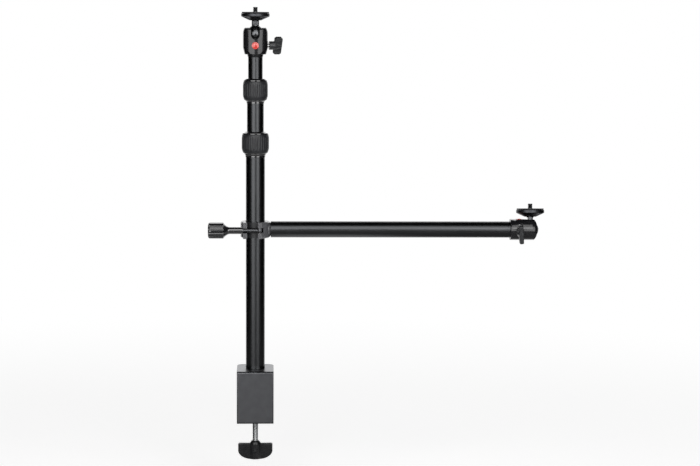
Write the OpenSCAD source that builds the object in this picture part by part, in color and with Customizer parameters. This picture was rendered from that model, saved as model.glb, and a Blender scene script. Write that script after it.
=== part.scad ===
// Desk mount arm: a desk clamp, a three part pole, a side arm and two small ball heads.
// Sizes are in millimetres. The origin lies on the desk's top face, under the pole's axis.
// +X runs along the arm, +Z runs up the pole, and the clamp's closed side faces -Y.

/* [Desk clamp] */
// Width of the clamp frame
clamp_w = 48.5; // [40:0.5:70]
// Depth of the clamp frame, from its closed front to the ends of its jaws
clamp_d = 58; // [52:1:80]
// Clear height between the two jaws
jaw_gap = 56; // [48:1:80]
// Thickness of the upper jaw
upper_jaw_t = 6; // [5.5:0.5:10]
// Thickness of the lower jaw
lower_jaw_t = 8; // [6:0.5:14]
// Thickness of the closed front
spine_t = 8; // [6:0.5:11]
// Distance from the closed front to the pole's axis
pole_inset = 30; // [26:1:36]
// Distance from the closed front to the clamp screw's axis
screw_inset = 33; // [26:1:38]
// Radius of the long front edges, top and bottom
front_edge_r = 2.4; // [1:0.2:4]
// Radius of the upright front edges
side_edge_r = 1.4; // [0.6:0.2:3]
// Radius of the rear corners of both jaws
rear_corner_r = 9; // [4:0.5:14]
// Radius where the jaws meet the closed front
throat_r = 3; // [1:0.5:5]
// Thickness of the rubber sheet under the upper jaw
jaw_pad_t = 1; // [0.8:0.1:3]
// Bare margin round that rubber sheet
jaw_pad_margin = 2.4; // [1:0.2:5]

/* [Clamp screw] */
// Thickness of the desk top that the clamp holds at rest
desk_t = 25; // [8:1:40]
// Radius of the clamp screw
clamp_screw_r = 4; // [3:0.5:6]
// Bare length of screw between the lower jaw and the wing knob
screw_show = 29; // [26:1:60]
// Radius of the pressure pad
press_pad_r = 13; // [10:0.5:18]
// Height of the metal cup of the pressure pad
press_cup_h = 4; // [3.6:0.2:8]
// Thickness of the rubber on the pressure pad
press_rubber_t = 2.5; // [1:0.5:5]
// Radius of the screw's turned tip, on which the pad swivels
swivel_tip_r = 3; // [2.4:0.1:3.2]
// Thickness of the clip that holds the pad on the screw
swivel_clip_t = 0.8; // [0.6:0.1:1.2]

/* [Wing knob] */
// Width across the wings
wing_w = 46; // [36:1:64]
// Height of the wings
wing_h = 22; // [18:1:34]
// Height of the wings' upright ends
wing_side_h = 9.5; // [6:0.5:14]
// Width of the flat at the wings' lower end
wing_flat_w = 11; // [6:1:16]
// Thickness of the wings at their ends
wing_t = 9.5; // [7:0.5:14]
// Thickness of the wings where they are scooped out
wing_waist_t = 5; // [3.5:0.5:7]
// Radius of the knob's hub
wing_hub_r = 7.2; // [6.4:0.2:9]
// Height of the cone above the wings
wing_cone_h = 3.4; // [2:0.2:6]

/* [Pole] */
// Outer radius of the lower tube
outer_r = 12.5; // [11.9:0.1:13.5]
// Outer radius of the middle tube
mid_r = 11; // [10.3:0.1:11.1]
// Outer radius of the upper tube
top_r = 9.5; // [8.6:0.1:9.6]
// Wall of the lower and middle tubes
tube_wall = 1.2; // [0.8:0.1:1.3]
// Wall of the upper tube
top_wall = 1.1; // [0.8:0.1:1.6]
// Length of the lower tube
outer_len = 298.9; // [260:0.1:420]
// Length of the middle tube
mid_len = 300; // [240:1:305]
// Length of the upper tube
top_len = 290; // [200:1:292]
// Height of the foot flange under the lower tube
foot_h = 4; // [2:0.5:8]
// Amount by which the foot flange stands proud of the tube
foot_lip = 0.2; // [0.1:0.1:1]
// Length of the foot's plug inside the tube
foot_plug_len = 19; // [14:1:20]
// Radius of the bolt that holds the pole to the clamp
base_bolt_r = 4; // [3:0.5:5]
// Bare middle tube between the two locks
mid_show = 40.5; // [20:0.5:120]
// Bare upper tube above the upper lock
top_show = 28; // [12:0.2:120]
// Length of the guide flange below each inner tube
guide_h = 5; // [3:0.5:8]

/* [Twist locks] */
// Largest radius of the lower lock
lower_lock_r = 17.8; // [17:0.1:22]
// Largest radius of the upper lock
upper_lock_r = 16.2; // [15.5:0.1:20]
// Height of each lock ring
lock_h = 28.7; // [28:0.1:40]
// Depth of tube end inside its lock
lock_grab = 17; // [12:0.5:18]
// Taper of the lower lock's top rim
lower_nose = 3.9; // [2:0.1:4.5]
// Taper of the upper lock's top rim
upper_nose = 2.7; // [1.5:0.1:4]
// Height of the smooth rim above the rubber grip
rim_h = 3.3; // [2.6:0.1:5]
// Rubber grip's thickness
grip_t = 2.2; // [1.2:0.1:2.3]
// Number of grooves round each rubber grip
grip_grooves = 30; // [18:1:36]
// Depth of those grooves
groove_depth = 0.45; // [0.2:0.05:0.8]
// Bare sleeve below the lower lock ring
lower_sleeve_show = 4.9; // [2:0.1:8]
// Bare sleeve below the upper lock ring
upper_sleeve_show = 3.5; // [2:0.1:8]
// Wall of the threaded sleeve round the tube's end
sleeve_wall = 1.5; // [1:0.1:1.6]
// Height of the split collet
collet_h = 7.5; // [5:0.5:9]

/* [Arm] */
// Height of the arm's axis above the desk top
arm_h = 192.5; // [70:0.5:240]
// Outer radius of the arm's tube
arm_r = 10.75; // [9.6:0.05:13]
// Wall of the arm's tube
arm_wall = 1.2; // [0.8:0.1:2.5]
// Length of the arm's tube
arm_len = 314; // [120:1:500]
// Length of the plugs inside the arm's ends
arm_plug_len = 24; // [22:1:40]
// Height of the flange between the arm's tube and its ball head
arm_flange_h = 3.2; // [2:0.2:6]

/* [Collar] */
// Outer radius of the collar ring
collar_r = 19.5; // [18.5:0.5:24]
// Height of the collar
collar_h = 21.4; // [19:0.2:34]
// Thickness of the plastic liner between the pole and the collar
liner_t = 0.8; // [0.6:0.1:1.4]
// Outer face of the hinged jaw's ear, measured from the pole's axis
left_ear_x = 16.1; // [15.6:0.1:18]
// Thickness of both ears
ear_t = 5.4; // [4.6:0.1:6]
// Inner face of the fixed jaw's ear, measured from the pole's axis
right_ear_x = 3.5; // [3:0.1:5]
// Distance from the pole's axis to the front of the ears
ear_reach = 21; // [20.6:0.1:26]
// Distance from the pole's axis to the swing bolt's axis
swing_y = 16.5; // [16:0.1:17.6]
// Radius of the swing bolt
swing_bolt_r = 3; // [2:0.1:3.2]
// Radius of the pin on which the swing bolt turns
swing_pin_r = 1.5; // [1:0.1:1.8]
// Radius of the swing bolt's eye
swing_eye_r = 4.2; // [3.4:0.1:4.6]
// Radius of the collar's hinge pin
hinge_pin_r = 2; // [1.2:0.1:2.4]
// Radius of the collar's hinge knuckles
knuckle_r = 4.5; // [3.8:0.1:5]
// Distance of the hinge and the split from the pole's axis, towards the knob
split_x = 3.8; // [2:0.1:5]
// Distance of the hinge pin behind the pole's axis
hinge_y = 18.6; // [18.4:0.1:20]
// Radius of the boss that carries the arm
boss_r = 9.8; // [8.6:0.1:10.4]
// Distance from the pole's axis to the end of that boss
boss_x = 20.2; // [19.8:0.1:30]
// Radius of the bolt that holds the arm's tube to the collar
arm_bolt_r = 4; // [3:0.5:5]

/* [Collar knob] */
// Radius of the knob's neck
neck_r = 4.65; // [4.2:0.05:5]
// Length of the neck's straight part
neck_len = 17; // [8:0.5:30]
// Length of the flare between neck and grip
flare_len = 8.4; // [4:0.2:14]
// Radius of the knob's grip
knob_r = 10.5; // [8.5:0.1:14]
// Length of the knob's grip
knob_len = 20; // [14:0.5:30]
// Number of flutes in the grip
knob_flutes = 14; // [8:1:18]
// Depth of the flutes
flute_depth = 0.9; // [0.4:0.1:1.4]

/* [Ball heads] */
// Largest half width of the head's housing, across the locking knob
head_r = 16.3; // [15.8:0.1:20]
// Half depth of the housing, towards the notch
head_half_d = 13.9; // [13.6:0.1:16]
// Height of the housing
head_h = 35.2; // [35:0.2:42]
// Radius of the ball
ball_r = 11; // [10:0.1:11.2]
// Distance from the housing's open end down to the ball's centre
ball_drop = 8.1; // [7.6:0.1:8.6]
// Radius of the flare at the housing's open end
mouth_r = 10.4; // [10:0.1:11]
// Width of the notch in the housing's side
notch_w = 10.2; // [9.9:0.1:11]
// Distance from the open end to the notch's lowest point
notch_depth = 14.7; // [14:0.1:15.4]
// Width added to the notch by its bevel
notch_bevel = 1.1; // [0.4:0.1:1.6]
// Distance from the open end down to the locking screw's axis
lock_drop = 23.7; // [23.4:0.1:24.4]
// Radius of the round badge below the notch
badge_r = 4.6; // [3:0.1:5.2]
// Height of the badge above the housing's side
badge_rise = 0.8; // [0.3:0.1:1.5]
// Radius of the threaded stud that carries the head
head_stud_r = 4.76; // [3.1:0.02:5]
// Radius of the ball's stem
stem_r = 4.85; // [4:0.05:4.9]
// Width across the wrench flats of the stem
stem_flats = 6.5; // [6:0.1:8]
// Turn of the arm's head about the arm; above 0 it leans towards the clamp's closed side
arm_head_roll = -6; // [-20:0.5:20]

/* [Camera plates] */
// Distance from the ball's centre up to the plate's hub
plate_rise = 17; // [16.6:0.1:24]
// Radius of the plate
plate_r = 18.6; // [15:0.1:26]
// Radius of the plate's hub
plate_hub_r = 7.5; // [6:0.1:9]
// Height of the cone under the plate's rim
plate_cone_h = 5; // [3:0.1:8]
// Height of the plate's rim
plate_rim_h = 4.4; // [3.4:0.1:8]
// Thickness of the rubber ring on the plate
plate_pad_t = 1.5; // [0.8:0.1:3]
// Depth of the hollows between the ribs under the plate
plate_hollow = 1.7; // [0.6:0.1:2.2]
// Radius of the camera screw
camera_screw_r = 3.175; // [3.175, 4.7625]
// Length of camera screw above the rubber ring
camera_screw_show = 6.4; // [4:0.1:10]
// Turn of the upper plate about its stem
top_plate_turn = -8; // [-45:1:45]
// Turn of the arm's plate about its stem
arm_plate_turn = 12; // [-45:1:45]

/* [Head locking knobs] */
// Radius of the locking screw
lock_screw_r = 2; // [1.5:0.1:2.4]
// Bare screw between the housing and the locking knob
lock_screw_show = 2; // [1:0.1:5]
// Turn of the locking screw about the housing's axis, away from the notch
lock_back = 12; // [0:1:20]
// Radius of the locking knob's hub
lock_hub_r = 5.7; // [4:0.1:7]
// Height of the locking knob's hub
lock_hub_h = 6; // [4:0.1:9]
// Length of the locking knob's bar
lock_bar_len = 25.5; // [18:0.5:34]
// Reach of the bar beyond the hub
lock_bar_h = 11; // [8:0.1:16]
// Thickness of the bar
lock_bar_t = 5.4; // [5:0.1:8]
// Turn of the upper head's locking knob about its screw
top_knob_turn = 32; // [0:1:90]
// Turn of the arm head's locking knob about its screw
arm_knob_turn = 94; // [0:1:180]

/* [Fits] */
// Gap between pieces that are pressed, glued or screwed together
fit_gap = 0.04; // [0.02:0.01:0.06]
// Gap round a shaft, tube or screw that turns or slides
run_gap = 0.08; // [0.05:0.01:0.1]
// Gap between faces that pass each other
face_gap = 0.25; // [0.1:0.05:0.4]

/* [Hidden] */
$fn = 96;
over = 1;
big = 200;

// Clamp: heights above the desk and places along the depth
jaw_under_z = jaw_pad_t;
jaw_top_z = jaw_under_z + upper_jaw_t;
lower_jaw_z = jaw_under_z - jaw_gap;
clamp_bottom_z = lower_jaw_z - lower_jaw_t;
front_y = -pole_inset;
rear_y = front_y + clamp_d;
screw_y = front_y + screw_inset;

// Base bolt
base_head_r = 2 * base_bolt_r;
base_head_h = base_bolt_r;
base_head_z = jaw_under_z + face_gap;
base_socket_r = 0.7 * base_bolt_r;
base_socket_depth = 2.4;
base_bolt_short = 4;
foot_top_z = jaw_top_z + foot_h;
base_bolt_end_z = foot_top_z + foot_plug_len - base_bolt_short;

// Pressure pad and clamp screw
press_top_z = -desk_t;
cup_top_z = press_top_z - press_rubber_t;
cup_bottom_z = cup_top_z - press_cup_h;
cup_floor_t = press_cup_h / 2;
clip_rim = 2;
clip_groove_depth = 0.6;
clip_r = swivel_tip_r + clip_rim;
clip_groove_r = swivel_tip_r - clip_groove_depth;
clip_z = cup_bottom_z + cup_floor_t + face_gap;
tip_past_clip = 0.5;
tip_end_z = clip_z + swivel_clip_t + tip_past_clip;
screw_shoulder_z = cup_bottom_z - face_gap;
knob_top_z = clamp_bottom_z - screw_show;
wing_top_z = knob_top_z - wing_cone_h;
wing_bottom_z = wing_top_z - wing_h;
knob_floor_t = 6;
screw_end_z = wing_bottom_z + knob_floor_t;
wing_corner = 1.2;
wing_cone_wall = 1;
knob_pin_r = 1.25;
knob_pin_inset = 0.5;
knob_pin_z = (wing_top_z + screw_end_z) / 2;

// Pole: tube radii and heights
outer_bore_r = outer_r - tube_wall;
mid_bore_r = mid_r - tube_wall;
top_bore_r = top_r - top_wall;
outer_end_z = foot_top_z + outer_len;
lower_ring_z = outer_end_z - lock_grab;
upper_ring_z = lower_ring_z + lock_h + mid_show;
mid_end_z = upper_ring_z + lock_grab;
mid_start_z = mid_end_z - mid_len;
top_end_z = upper_ring_z + lock_h + top_show;
top_start_z = top_end_z - top_len;
top_flange_h = 3.5;
top_cone_foot = 0.1;
top_cone_flare = 1.2;
top_head_z = top_end_z + top_flange_h + face_gap;
bush_plug_len = 8;
bush_wall = 1.6;
end_plug_len = 18;

// Locks: the collet sits above the tube's end, inside the nut's cone
thread_gap = run_gap;
sleeve_lip = 0.4;
sleeve_flare = 0.6;
collet_z = lock_grab + fit_gap;
collet_band = 1;
collet_nose_wall = 1;
collet_slit = 1.2;
nut_bore_gap = 0.4;
nut_cone_gap = 0.3;
nut_cone_top = collet_z + collet_h + nut_bore_gap;
nut_edge = 0.6;
rim_z = lock_h - rim_h;
rim_step = 0.8;
rim_side_h = 0.6;
rim_round = 0.5;
grip_z = 1;
grip_foot_in = 1.6;
grip_foot_h = 7;
grip_head_in = 0.8;
grip_head_h = 6.5;
groove_r = 0.8;

// Collar and arm
bore_r = outer_r + run_gap;
liner_r = bore_r + liner_t;
jaw_bore_r = liner_r + run_gap;
collar_edge = 1.4;
liner_inset = 0.6;
liner_slit = 2;
ear_edge = 1;
split_gap = 0.6;
boss_edge_len = 2;
boss_edge = 1.4;
swing_x = right_ear_x + ear_t / 2;
ear_slot_h = 2 * swing_bolt_r + 2 * face_gap;
eye_h = 2 * swing_bolt_r - 0.5;
eye_wall_lap = 0.8;
knuckle_h = 7.6;
knuckle_clear = 0.4;
knob_gap = 0.5;
neck_edge = 0.4;
flare_power = 1.7;
flare_steps = 6;
knob_edge_r = 2.8;
flute_r = 1.7;
knob_start_x = left_ear_x + knob_gap;
bolt_end_x = knob_start_x + neck_len + flare_len + knob_len / 2;
arm_bolt_head_r = 1.6 * arm_bolt_r;
arm_bolt_head_h = 3.2;
arm_bolt_head_gap = 0.4;
arm_bolt_head_x = jaw_bore_r + arm_bolt_head_gap;
arm_socket_r = 0.75 * arm_bolt_r;
arm_socket_depth = 2;
arm_bolt_short = 5;
arm_bolt_end_x = boss_x + arm_plug_len - arm_bolt_short;
arm_end_x = boss_x + arm_len;
arm_bore_r = arm_r - arm_wall;
arm_head_x = arm_end_x + arm_flange_h + face_gap;
arm_flange_in = 0.05;
arm_tilt = 90;

// Ball head, in its own frame: the housing stands on z = 0 and opens upwards,
// the notch faces -y and the locking knob sits beside +x, turned back from the notch
ball_z = head_h - ball_drop;
lock_z = head_h - lock_drop;
cavity_r = ball_r + run_gap;
mouth_flare = 0.6;
seat_drop = 7;
seat_top_z = ball_z - seat_drop;
seat_floor_t = 2;
seat_z = ball_z - ball_r - seat_floor_t;
insert_top_z = seat_z - face_gap;
socket_h = 6;
head_stud_h = socket_h - 1;
thrust_r = 3.6;
thrust_foot = 3.2;
thrust_z = lock_z - thrust_foot;
thrust_cone_out = 1.1;
dome_r = 26;
oval_r = 24;
head_base_in = 2;
head_base_h = 9;
head_base_edge = 0.5;
head_crown_in = 3.3;
badge_seat = 1.4;
badge_lap = 0.1;

// Camera plate, in the stud's frame: the ball's centre is the origin and the stem runs up z
plate_cone_z = plate_rise + plate_cone_h;
plate_top_z = plate_cone_z + plate_rim_h;
pad_top_z = plate_top_z + plate_pad_t;
stem_spigot_r = 4.2;
stem_spigot_h = 4;
screw_start_z = plate_rise + stem_spigot_h + fit_gap;
screw_neck_r = camera_screw_r - 0.6;
screw_tip = 0.5;
pad_hole_r = camera_screw_r + 1;
plate_edge = 0.8;
cone_edge = 0.3;
hollow_hub_wall = 0.9;
hollow_rim_wall = 1.3;
hollow_slope_in = 1.5;
hollow_slope_out = 2.5;
rib_half_w = 2.2;
rib_hub_half_w = 2.75;
rib_rim_half_w = 5;
stem_flat_gap = 1;

// Locking knob and screw, along the screw from the housing's axis
lock_hub_z = head_r + lock_screw_show;
lock_bar_z = lock_hub_z + lock_hub_h;
lock_bar_end = lock_bar_z + lock_bar_h;
lock_bar_corner = 2.2;
lock_cone_short = 2;
lock_cone_wall = 0.6;
lock_screw_tip = 1.2;
lock_screw_point = 1.6;
lock_screw_end = lock_bar_z + lock_bar_h / 2;

// Shared shapes

// A straight ring between two heights
module ring(r_out, r_in, z0, z1) {
    translate([0, 0, z0])
        difference() {
            cylinder(h = z1 - z0, r = r_out);
            translate([0, 0, -over]) cylinder(h = z1 - z0 + 2 * over, r = r_in);
        }
}

// Turns children drawn in y and z so that they are extruded along x
module across_x(width) {
    rotate([90, 0, 90]) linear_extrude(height = width, center = true) children();
}

// A rectangle with round corners, given by two opposite corners
module round_rect(x0, y0, x1, y1, r) {
    translate([x0 + r, y0]) square([x1 - x0 - 2 * r, y1 - y0]);
    translate([x0, y0 + r]) square([x1 - x0, y1 - y0 - 2 * r]);
    for (x = [x0 + r, x1 - r], y = [y0 + r, y1 - r])
        translate([x, y]) circle(r = r);
}

module at_top_head() {
    translate([0, 0, top_head_z]) children();
}

module at_arm_head() {
    translate([arm_head_x, 0, arm_h])
        rotate([180 + arm_head_roll, 0, 0])
            rotate([90, 0, 90])
                children();
}

module at_ball(tilt) {
    translate([0, 0, ball_z]) rotate([tilt, 0, 0]) children();
}

// Lays a shape drawn up z along the locking screw, at its height
module along_lock_screw(turn) {
    translate([0, 0, lock_z])
        rotate([0, 0, lock_back]) rotate([turn, 0, 0]) rotate([0, 90, 0]) children();
}

// Desk clamp

module clamp_profile() {
    difference() {
        union() {
            round_rect(front_y, clamp_bottom_z, front_y + clamp_d / 2, jaw_top_z, front_edge_r);
            translate([front_y + front_edge_r, clamp_bottom_z])
                square([clamp_d - front_edge_r, jaw_top_z - clamp_bottom_z]);
        }
        round_rect(front_y + spine_t, lower_jaw_z, rear_y + 3 * throat_r, jaw_under_z, throat_r);
    }
}

module clamp_plan() {
    half_w = clamp_w / 2;
    mid_y = (front_y + rear_y) / 2;
    round_rect(-half_w, front_y, half_w, mid_y + rear_corner_r, side_edge_r);
    round_rect(-half_w, mid_y - rear_corner_r, half_w, rear_y, rear_corner_r);
}

module clamp_frame() {
    color("#3a3b3d")
    difference() {
        intersection() {
            across_x(clamp_w) clamp_profile();
            translate([0, 0, clamp_bottom_z - over])
                linear_extrude(height = jaw_top_z - clamp_bottom_z + 2 * over) clamp_plan();
        }
        // Clearance hole and countersink of the base bolt
        translate([0, 0, jaw_under_z - over])
            cylinder(h = upper_jaw_t + 2 * over, r = base_bolt_r + fit_gap);
        translate([0, 0, base_head_z])
            cylinder(h = base_head_h, r1 = base_head_r + fit_gap, r2 = base_bolt_r + fit_gap);
        translate([0, 0, jaw_under_z - over])
            cylinder(h = base_head_z - jaw_under_z + over, r = base_head_r + fit_gap);
        // Threaded hole of the clamp screw
        translate([0, screw_y, clamp_bottom_z - over])
            cylinder(h = lower_jaw_t + 2 * over, r = clamp_screw_r + run_gap);
    }
}

module upper_jaw_pad() {
    half_w = clamp_w / 2 - jaw_pad_margin;
    color("#202022")
    linear_extrude(height = jaw_pad_t)
        round_rect(-half_w, front_y + spine_t + throat_r, half_w, rear_y - jaw_pad_margin,
                   rear_corner_r - jaw_pad_margin);
}

module base_bolt() {
    color("silver")
    difference() {
        union() {
            translate([0, 0, base_head_z])
                cylinder(h = base_head_h, r1 = base_head_r, r2 = base_bolt_r);
            translate([0, 0, base_head_z])
                cylinder(h = base_bolt_end_z - base_head_z, r = base_bolt_r);
        }
        translate([0, 0, base_head_z - over])
            cylinder(h = base_socket_depth + over, r = base_socket_r, $fn = 6);
    }
}

module pole_foot() {
    color("#1d1d1f")
    difference() {
        union() {
            translate([0, 0, jaw_top_z]) cylinder(h = foot_h, r = outer_r + foot_lip);
            translate([0, 0, foot_top_z - over])
                cylinder(h = foot_plug_len + over, r = outer_bore_r - fit_gap);
        }
        translate([0, 0, jaw_top_z - over])
            cylinder(h = base_bolt_end_z - jaw_top_z + 2 * over, r = base_bolt_r + fit_gap);
    }
}

// Pressure pad, clamp screw and wing knob

module pressure_cup() {
    color("#2b2b2d")
    translate([0, screw_y, 0])
    difference() {
        translate([0, 0, cup_bottom_z]) cylinder(h = press_cup_h, r = press_pad_r);
        translate([0, 0, cup_bottom_z - over])
            cylinder(h = press_cup_h + 2 * over, r = swivel_tip_r + run_gap);
        translate([0, 0, cup_bottom_z + cup_floor_t])
            cylinder(h = press_cup_h, r = clip_r + face_gap);
    }
}

module pressure_rubber() {
    color("#202022")
    translate([0, screw_y, cup_top_z]) cylinder(h = press_rubber_t, r = press_pad_r);
}

module swivel_clip() {
    color("silver")
    translate([0, screw_y, 0])
    difference() {
        ring(clip_r, clip_groove_r + fit_gap, clip_z, clip_z + swivel_clip_t);
        translate([0, -clip_groove_r, clip_z - over])
            cube([clip_r + over, 2 * clip_groove_r, swivel_clip_t + 2 * over]);
    }
}

module clamp_screw() {
    color("silver")
    translate([0, screw_y, 0])
    difference() {
        union() {
            translate([0, 0, screw_end_z])
                cylinder(h = screw_shoulder_z - screw_end_z, r = clamp_screw_r);
            translate([0, 0, screw_shoulder_z - over])
                cylinder(h = tip_end_z - screw_shoulder_z + over, r = swivel_tip_r);
        }
        ring(clip_r, clip_groove_r, clip_z - fit_gap, clip_z + swivel_clip_t + fit_gap);
        knob_pin_hole();
    }
}

module knob_pin_hole() {
    translate([0, 0, knob_pin_z]) rotate([90, 0, 0])
        cylinder(h = big, r = knob_pin_r + fit_gap, center = true);
}

// Half-moon outline of the wings, in x and z
function wing_arc(steps) = [
    for (i = [0 : steps])
        let (a = 90 * i / steps,
             reach = (wing_w - wing_flat_w) / 2,
             drop = wing_h - wing_side_h)
        [wing_flat_w / 2 + reach * cos(a), wing_top_z - wing_side_h - drop * sin(a)]
];

module wing_outline() {
    side = wing_arc(10);
    corner = [[wing_w / 2 - wing_corner, wing_top_z], [wing_w / 2, wing_top_z - wing_corner]];
    right = concat(corner, side);
    left = [for (i = [len(right) - 1 : -1 : 0]) [-right[i][0], right[i][1]]];
    polygon(concat(right, left));
}

module wing_knob() {
    scoop_x = wing_w / 4;
    scoop_depth = (wing_t - wing_waist_t) / 2;
    scoop_r = (pow(scoop_x, 2) + pow(scoop_depth, 2)) / (2 * scoop_depth);
    color("#262628")
    translate([0, screw_y, 0])
    difference() {
        union() {
            difference() {
                rotate([90, 0, 0]) linear_extrude(height = wing_t, center = true) wing_outline();
                for (sx = [-1, 1], sy = [-1, 1])
                    translate([sx * scoop_x, sy * (wing_waist_t / 2 + scoop_r), wing_bottom_z - over])
                        cylinder(h = wing_h + 2 * over, r = scoop_r);
            }
            translate([0, 0, wing_bottom_z]) cylinder(h = wing_h, r = wing_hub_r);
            translate([0, 0, wing_top_z])
                cylinder(h = wing_cone_h, r1 = wing_hub_r, r2 = clamp_screw_r + wing_cone_wall);
        }
        translate([0, 0, screw_end_z]) cylinder(h = big, r = clamp_screw_r + fit_gap);
        knob_pin_hole();
    }
}

module knob_pin() {
    color("#4a4a4c")
    translate([0, screw_y, knob_pin_z]) rotate([90, 0, 0])
        cylinder(h = 2 * (wing_hub_r - knob_pin_inset), r = knob_pin_r, center = true);
}

// Pole tubes

module outer_tube() {
    color("#1b1b1d") ring(outer_r, outer_bore_r, foot_top_z, outer_end_z);
}

module mid_tube() {
    color("#1b1b1d") ring(mid_r, mid_bore_r, mid_start_z, mid_end_z);
}

module top_tube() {
    color("#1b1b1d") ring(top_r, top_bore_r, top_start_z, top_end_z);
}

// A bush whose flange guides the tube's lower end and whose plug holds it
module guide_bush(flange_r, plug_r, z) {
    difference() {
        union() {
            translate([0, 0, z - guide_h]) cylinder(h = guide_h, r = flange_r);
            translate([0, 0, z - over]) cylinder(h = bush_plug_len + over, r = plug_r - fit_gap);
        }
        translate([0, 0, z - guide_h - over]) cylinder(h = big, r = plug_r - bush_wall);
    }
}

module mid_guide_bush() {
    color("#e8e8e6") guide_bush(outer_bore_r - run_gap, mid_bore_r, mid_start_z);
}

module top_guide_bush() {
    color("#e8e8e6") guide_bush(mid_bore_r - run_gap, top_bore_r, top_start_z);
}

module top_end_plug() {
    color("#1d1d1f") {
        translate([0, 0, top_end_z - end_plug_len])
            cylinder(h = end_plug_len + over, r = top_bore_r - fit_gap);
        translate([0, 0, top_end_z])
            cylinder(h = top_flange_h, r1 = top_r + top_cone_foot, r2 = top_r + top_cone_flare);
        translate([0, 0, top_end_z + top_flange_h - over])
            cylinder(h = head_stud_h + over, r = head_stud_r);
    }
}

// Twist locks: a threaded sleeve on the outer tube, a split collet and a nut with a grip

module lock_sleeve(tube_r, show) {
    rotate_extrude()
        polygon([
            [tube_r + fit_gap, -show],
            [tube_r + sleeve_lip, -show],
            [tube_r + sleeve_wall + sleeve_flare, -face_gap],
            [tube_r + sleeve_wall, -face_gap],
            [tube_r + sleeve_wall, lock_grab],
            [tube_r + fit_gap, lock_grab]
        ]);
}

module lock_collet(tube_r, inner_r) {
    difference() {
        rotate_extrude()
            polygon([
                [inner_r + run_gap, collet_z],
                [tube_r + sleeve_wall - face_gap, collet_z],
                [tube_r + sleeve_wall - face_gap, collet_z + collet_band],
                [inner_r + collet_nose_wall, collet_z + collet_h],
                [inner_r + run_gap, collet_z + collet_h]
            ]);
        translate([0, -collet_slit / 2, collet_z - over])
            cube([tube_r * 2, collet_slit, collet_h + 2 * over]);
    }
}

module lock_nut(tube_r, inner_r, ring_r, nose) {
    thread_r = tube_r + sleeve_wall + thread_gap;
    core_r = ring_r - grip_t;
    rotate_extrude()
        polygon([
            [thread_r, 0],
            [core_r - nut_edge, 0],
            [core_r, nut_edge],
            [core_r, rim_z],
            [ring_r - rim_step, rim_z],
            [ring_r - rim_step, rim_z + rim_side_h],
            [ring_r - nose + rim_round, lock_h - rim_round],
            [ring_r - nose, lock_h],
            [inner_r + nut_bore_gap, lock_h],
            [inner_r + nut_bore_gap, nut_cone_top],
            [inner_r + collet_nose_wall + face_gap, collet_z + collet_h + nut_cone_gap],
            [thread_r, collet_z + collet_band + nut_cone_gap]
        ]);
}

// The grip's outside: drawn in along a curve at its foot and at its head
function grip_side(ring_r) = [
    for (t = [0 : 0.25 : 1]) [ring_r - grip_foot_in * pow(1 - t, 2), grip_z + grip_foot_h * t],
    for (t = [0 : 0.25 : 1]) [ring_r - grip_head_in * pow(t, 2), rim_z - fit_gap - grip_head_h * (1 - t)]
];

module lock_grip(ring_r) {
    core_r = ring_r - grip_t + fit_gap;
    difference() {
        rotate_extrude()
            polygon(concat([[core_r, grip_z]], grip_side(ring_r), [[core_r, rim_z - fit_gap]]));
        for (i = [0 : grip_grooves - 1])
            rotate([0, 0, 360 * (i + 0.5) / grip_grooves])
                translate([ring_r + groove_r - groove_depth, 0, -over])
                    cylinder(h = lock_h, r = groove_r, $fn = 24);
    }
}

module lower_lock_sleeve() {
    color("#1d1d1f") translate([0, 0, lower_ring_z]) lock_sleeve(outer_r, lower_sleeve_show);
}

module lower_lock_collet() {
    color("#e8e8e6") translate([0, 0, lower_ring_z]) lock_collet(outer_r, mid_r);
}

module lower_lock_nut() {
    color("#161618") translate([0, 0, lower_ring_z])
        lock_nut(outer_r, mid_r, lower_lock_r, lower_nose);
}

module lower_lock_grip() {
    color("#38383a") translate([0, 0, lower_ring_z]) lock_grip(lower_lock_r);
}

module upper_lock_sleeve() {
    color("#1d1d1f") translate([0, 0, upper_ring_z]) lock_sleeve(mid_r, upper_sleeve_show);
}

module upper_lock_collet() {
    color("#e8e8e6") translate([0, 0, upper_ring_z]) lock_collet(mid_r, top_r);
}

module upper_lock_nut() {
    color("#161618") translate([0, 0, upper_ring_z])
        lock_nut(mid_r, top_r, upper_lock_r, upper_nose);
}

module upper_lock_grip() {
    color("#38383a") translate([0, 0, upper_ring_z]) lock_grip(upper_lock_r);
}

// Collar: a ring split beside the pole, hinged behind it and drawn shut by a swing bolt

module collar_liner() {
    color("#2a2a2c")
    translate([0, 0, arm_h])
    difference() {
        ring(liner_r, bore_r, liner_inset - collar_h / 2, collar_h / 2 - liner_inset);
        translate([-liner_slit / 2, 0, -collar_h]) cube([liner_slit, collar_r, 2 * collar_h]);
    }
}

module collar_ring() {
    half_h = collar_h / 2;
    rotate_extrude()
        polygon([
            [jaw_bore_r, -half_h],
            [collar_r - collar_edge, -half_h],
            [collar_r, collar_edge - half_h],
            [collar_r, half_h - collar_edge],
            [collar_r - collar_edge, half_h],
            [jaw_bore_r, half_h]
        ]);
}

// An ear from the ring's wall to the front, with round edges along it
module ear(x0) {
    rotate([90, 0, 0])
        linear_extrude(height = ear_reach)
            round_rect(x0, -collar_h / 2, x0 + ear_t, collar_h / 2, ear_edge);
}

module at_hinge() {
    translate([-split_x, hinge_y, 0]) children();
}

module knuckle(z0, z1, r) {
    at_hinge() translate([0, 0, z0]) cylinder(h = z1 - z0, r = r);
}

// Room for the other jaw's knuckle, open towards the bore
module knuckle_room(z0, z1) {
    r = knuckle_r + knuckle_clear;
    knuckle(z0, z1, r);
    translate([-split_x - r, 0, z0]) cube([2 * r, hinge_y, z1 - z0]);
}

module jaw_bore() {
    translate([0, 0, -collar_h]) cylinder(h = 2 * collar_h, r = jaw_bore_r);
}

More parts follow.
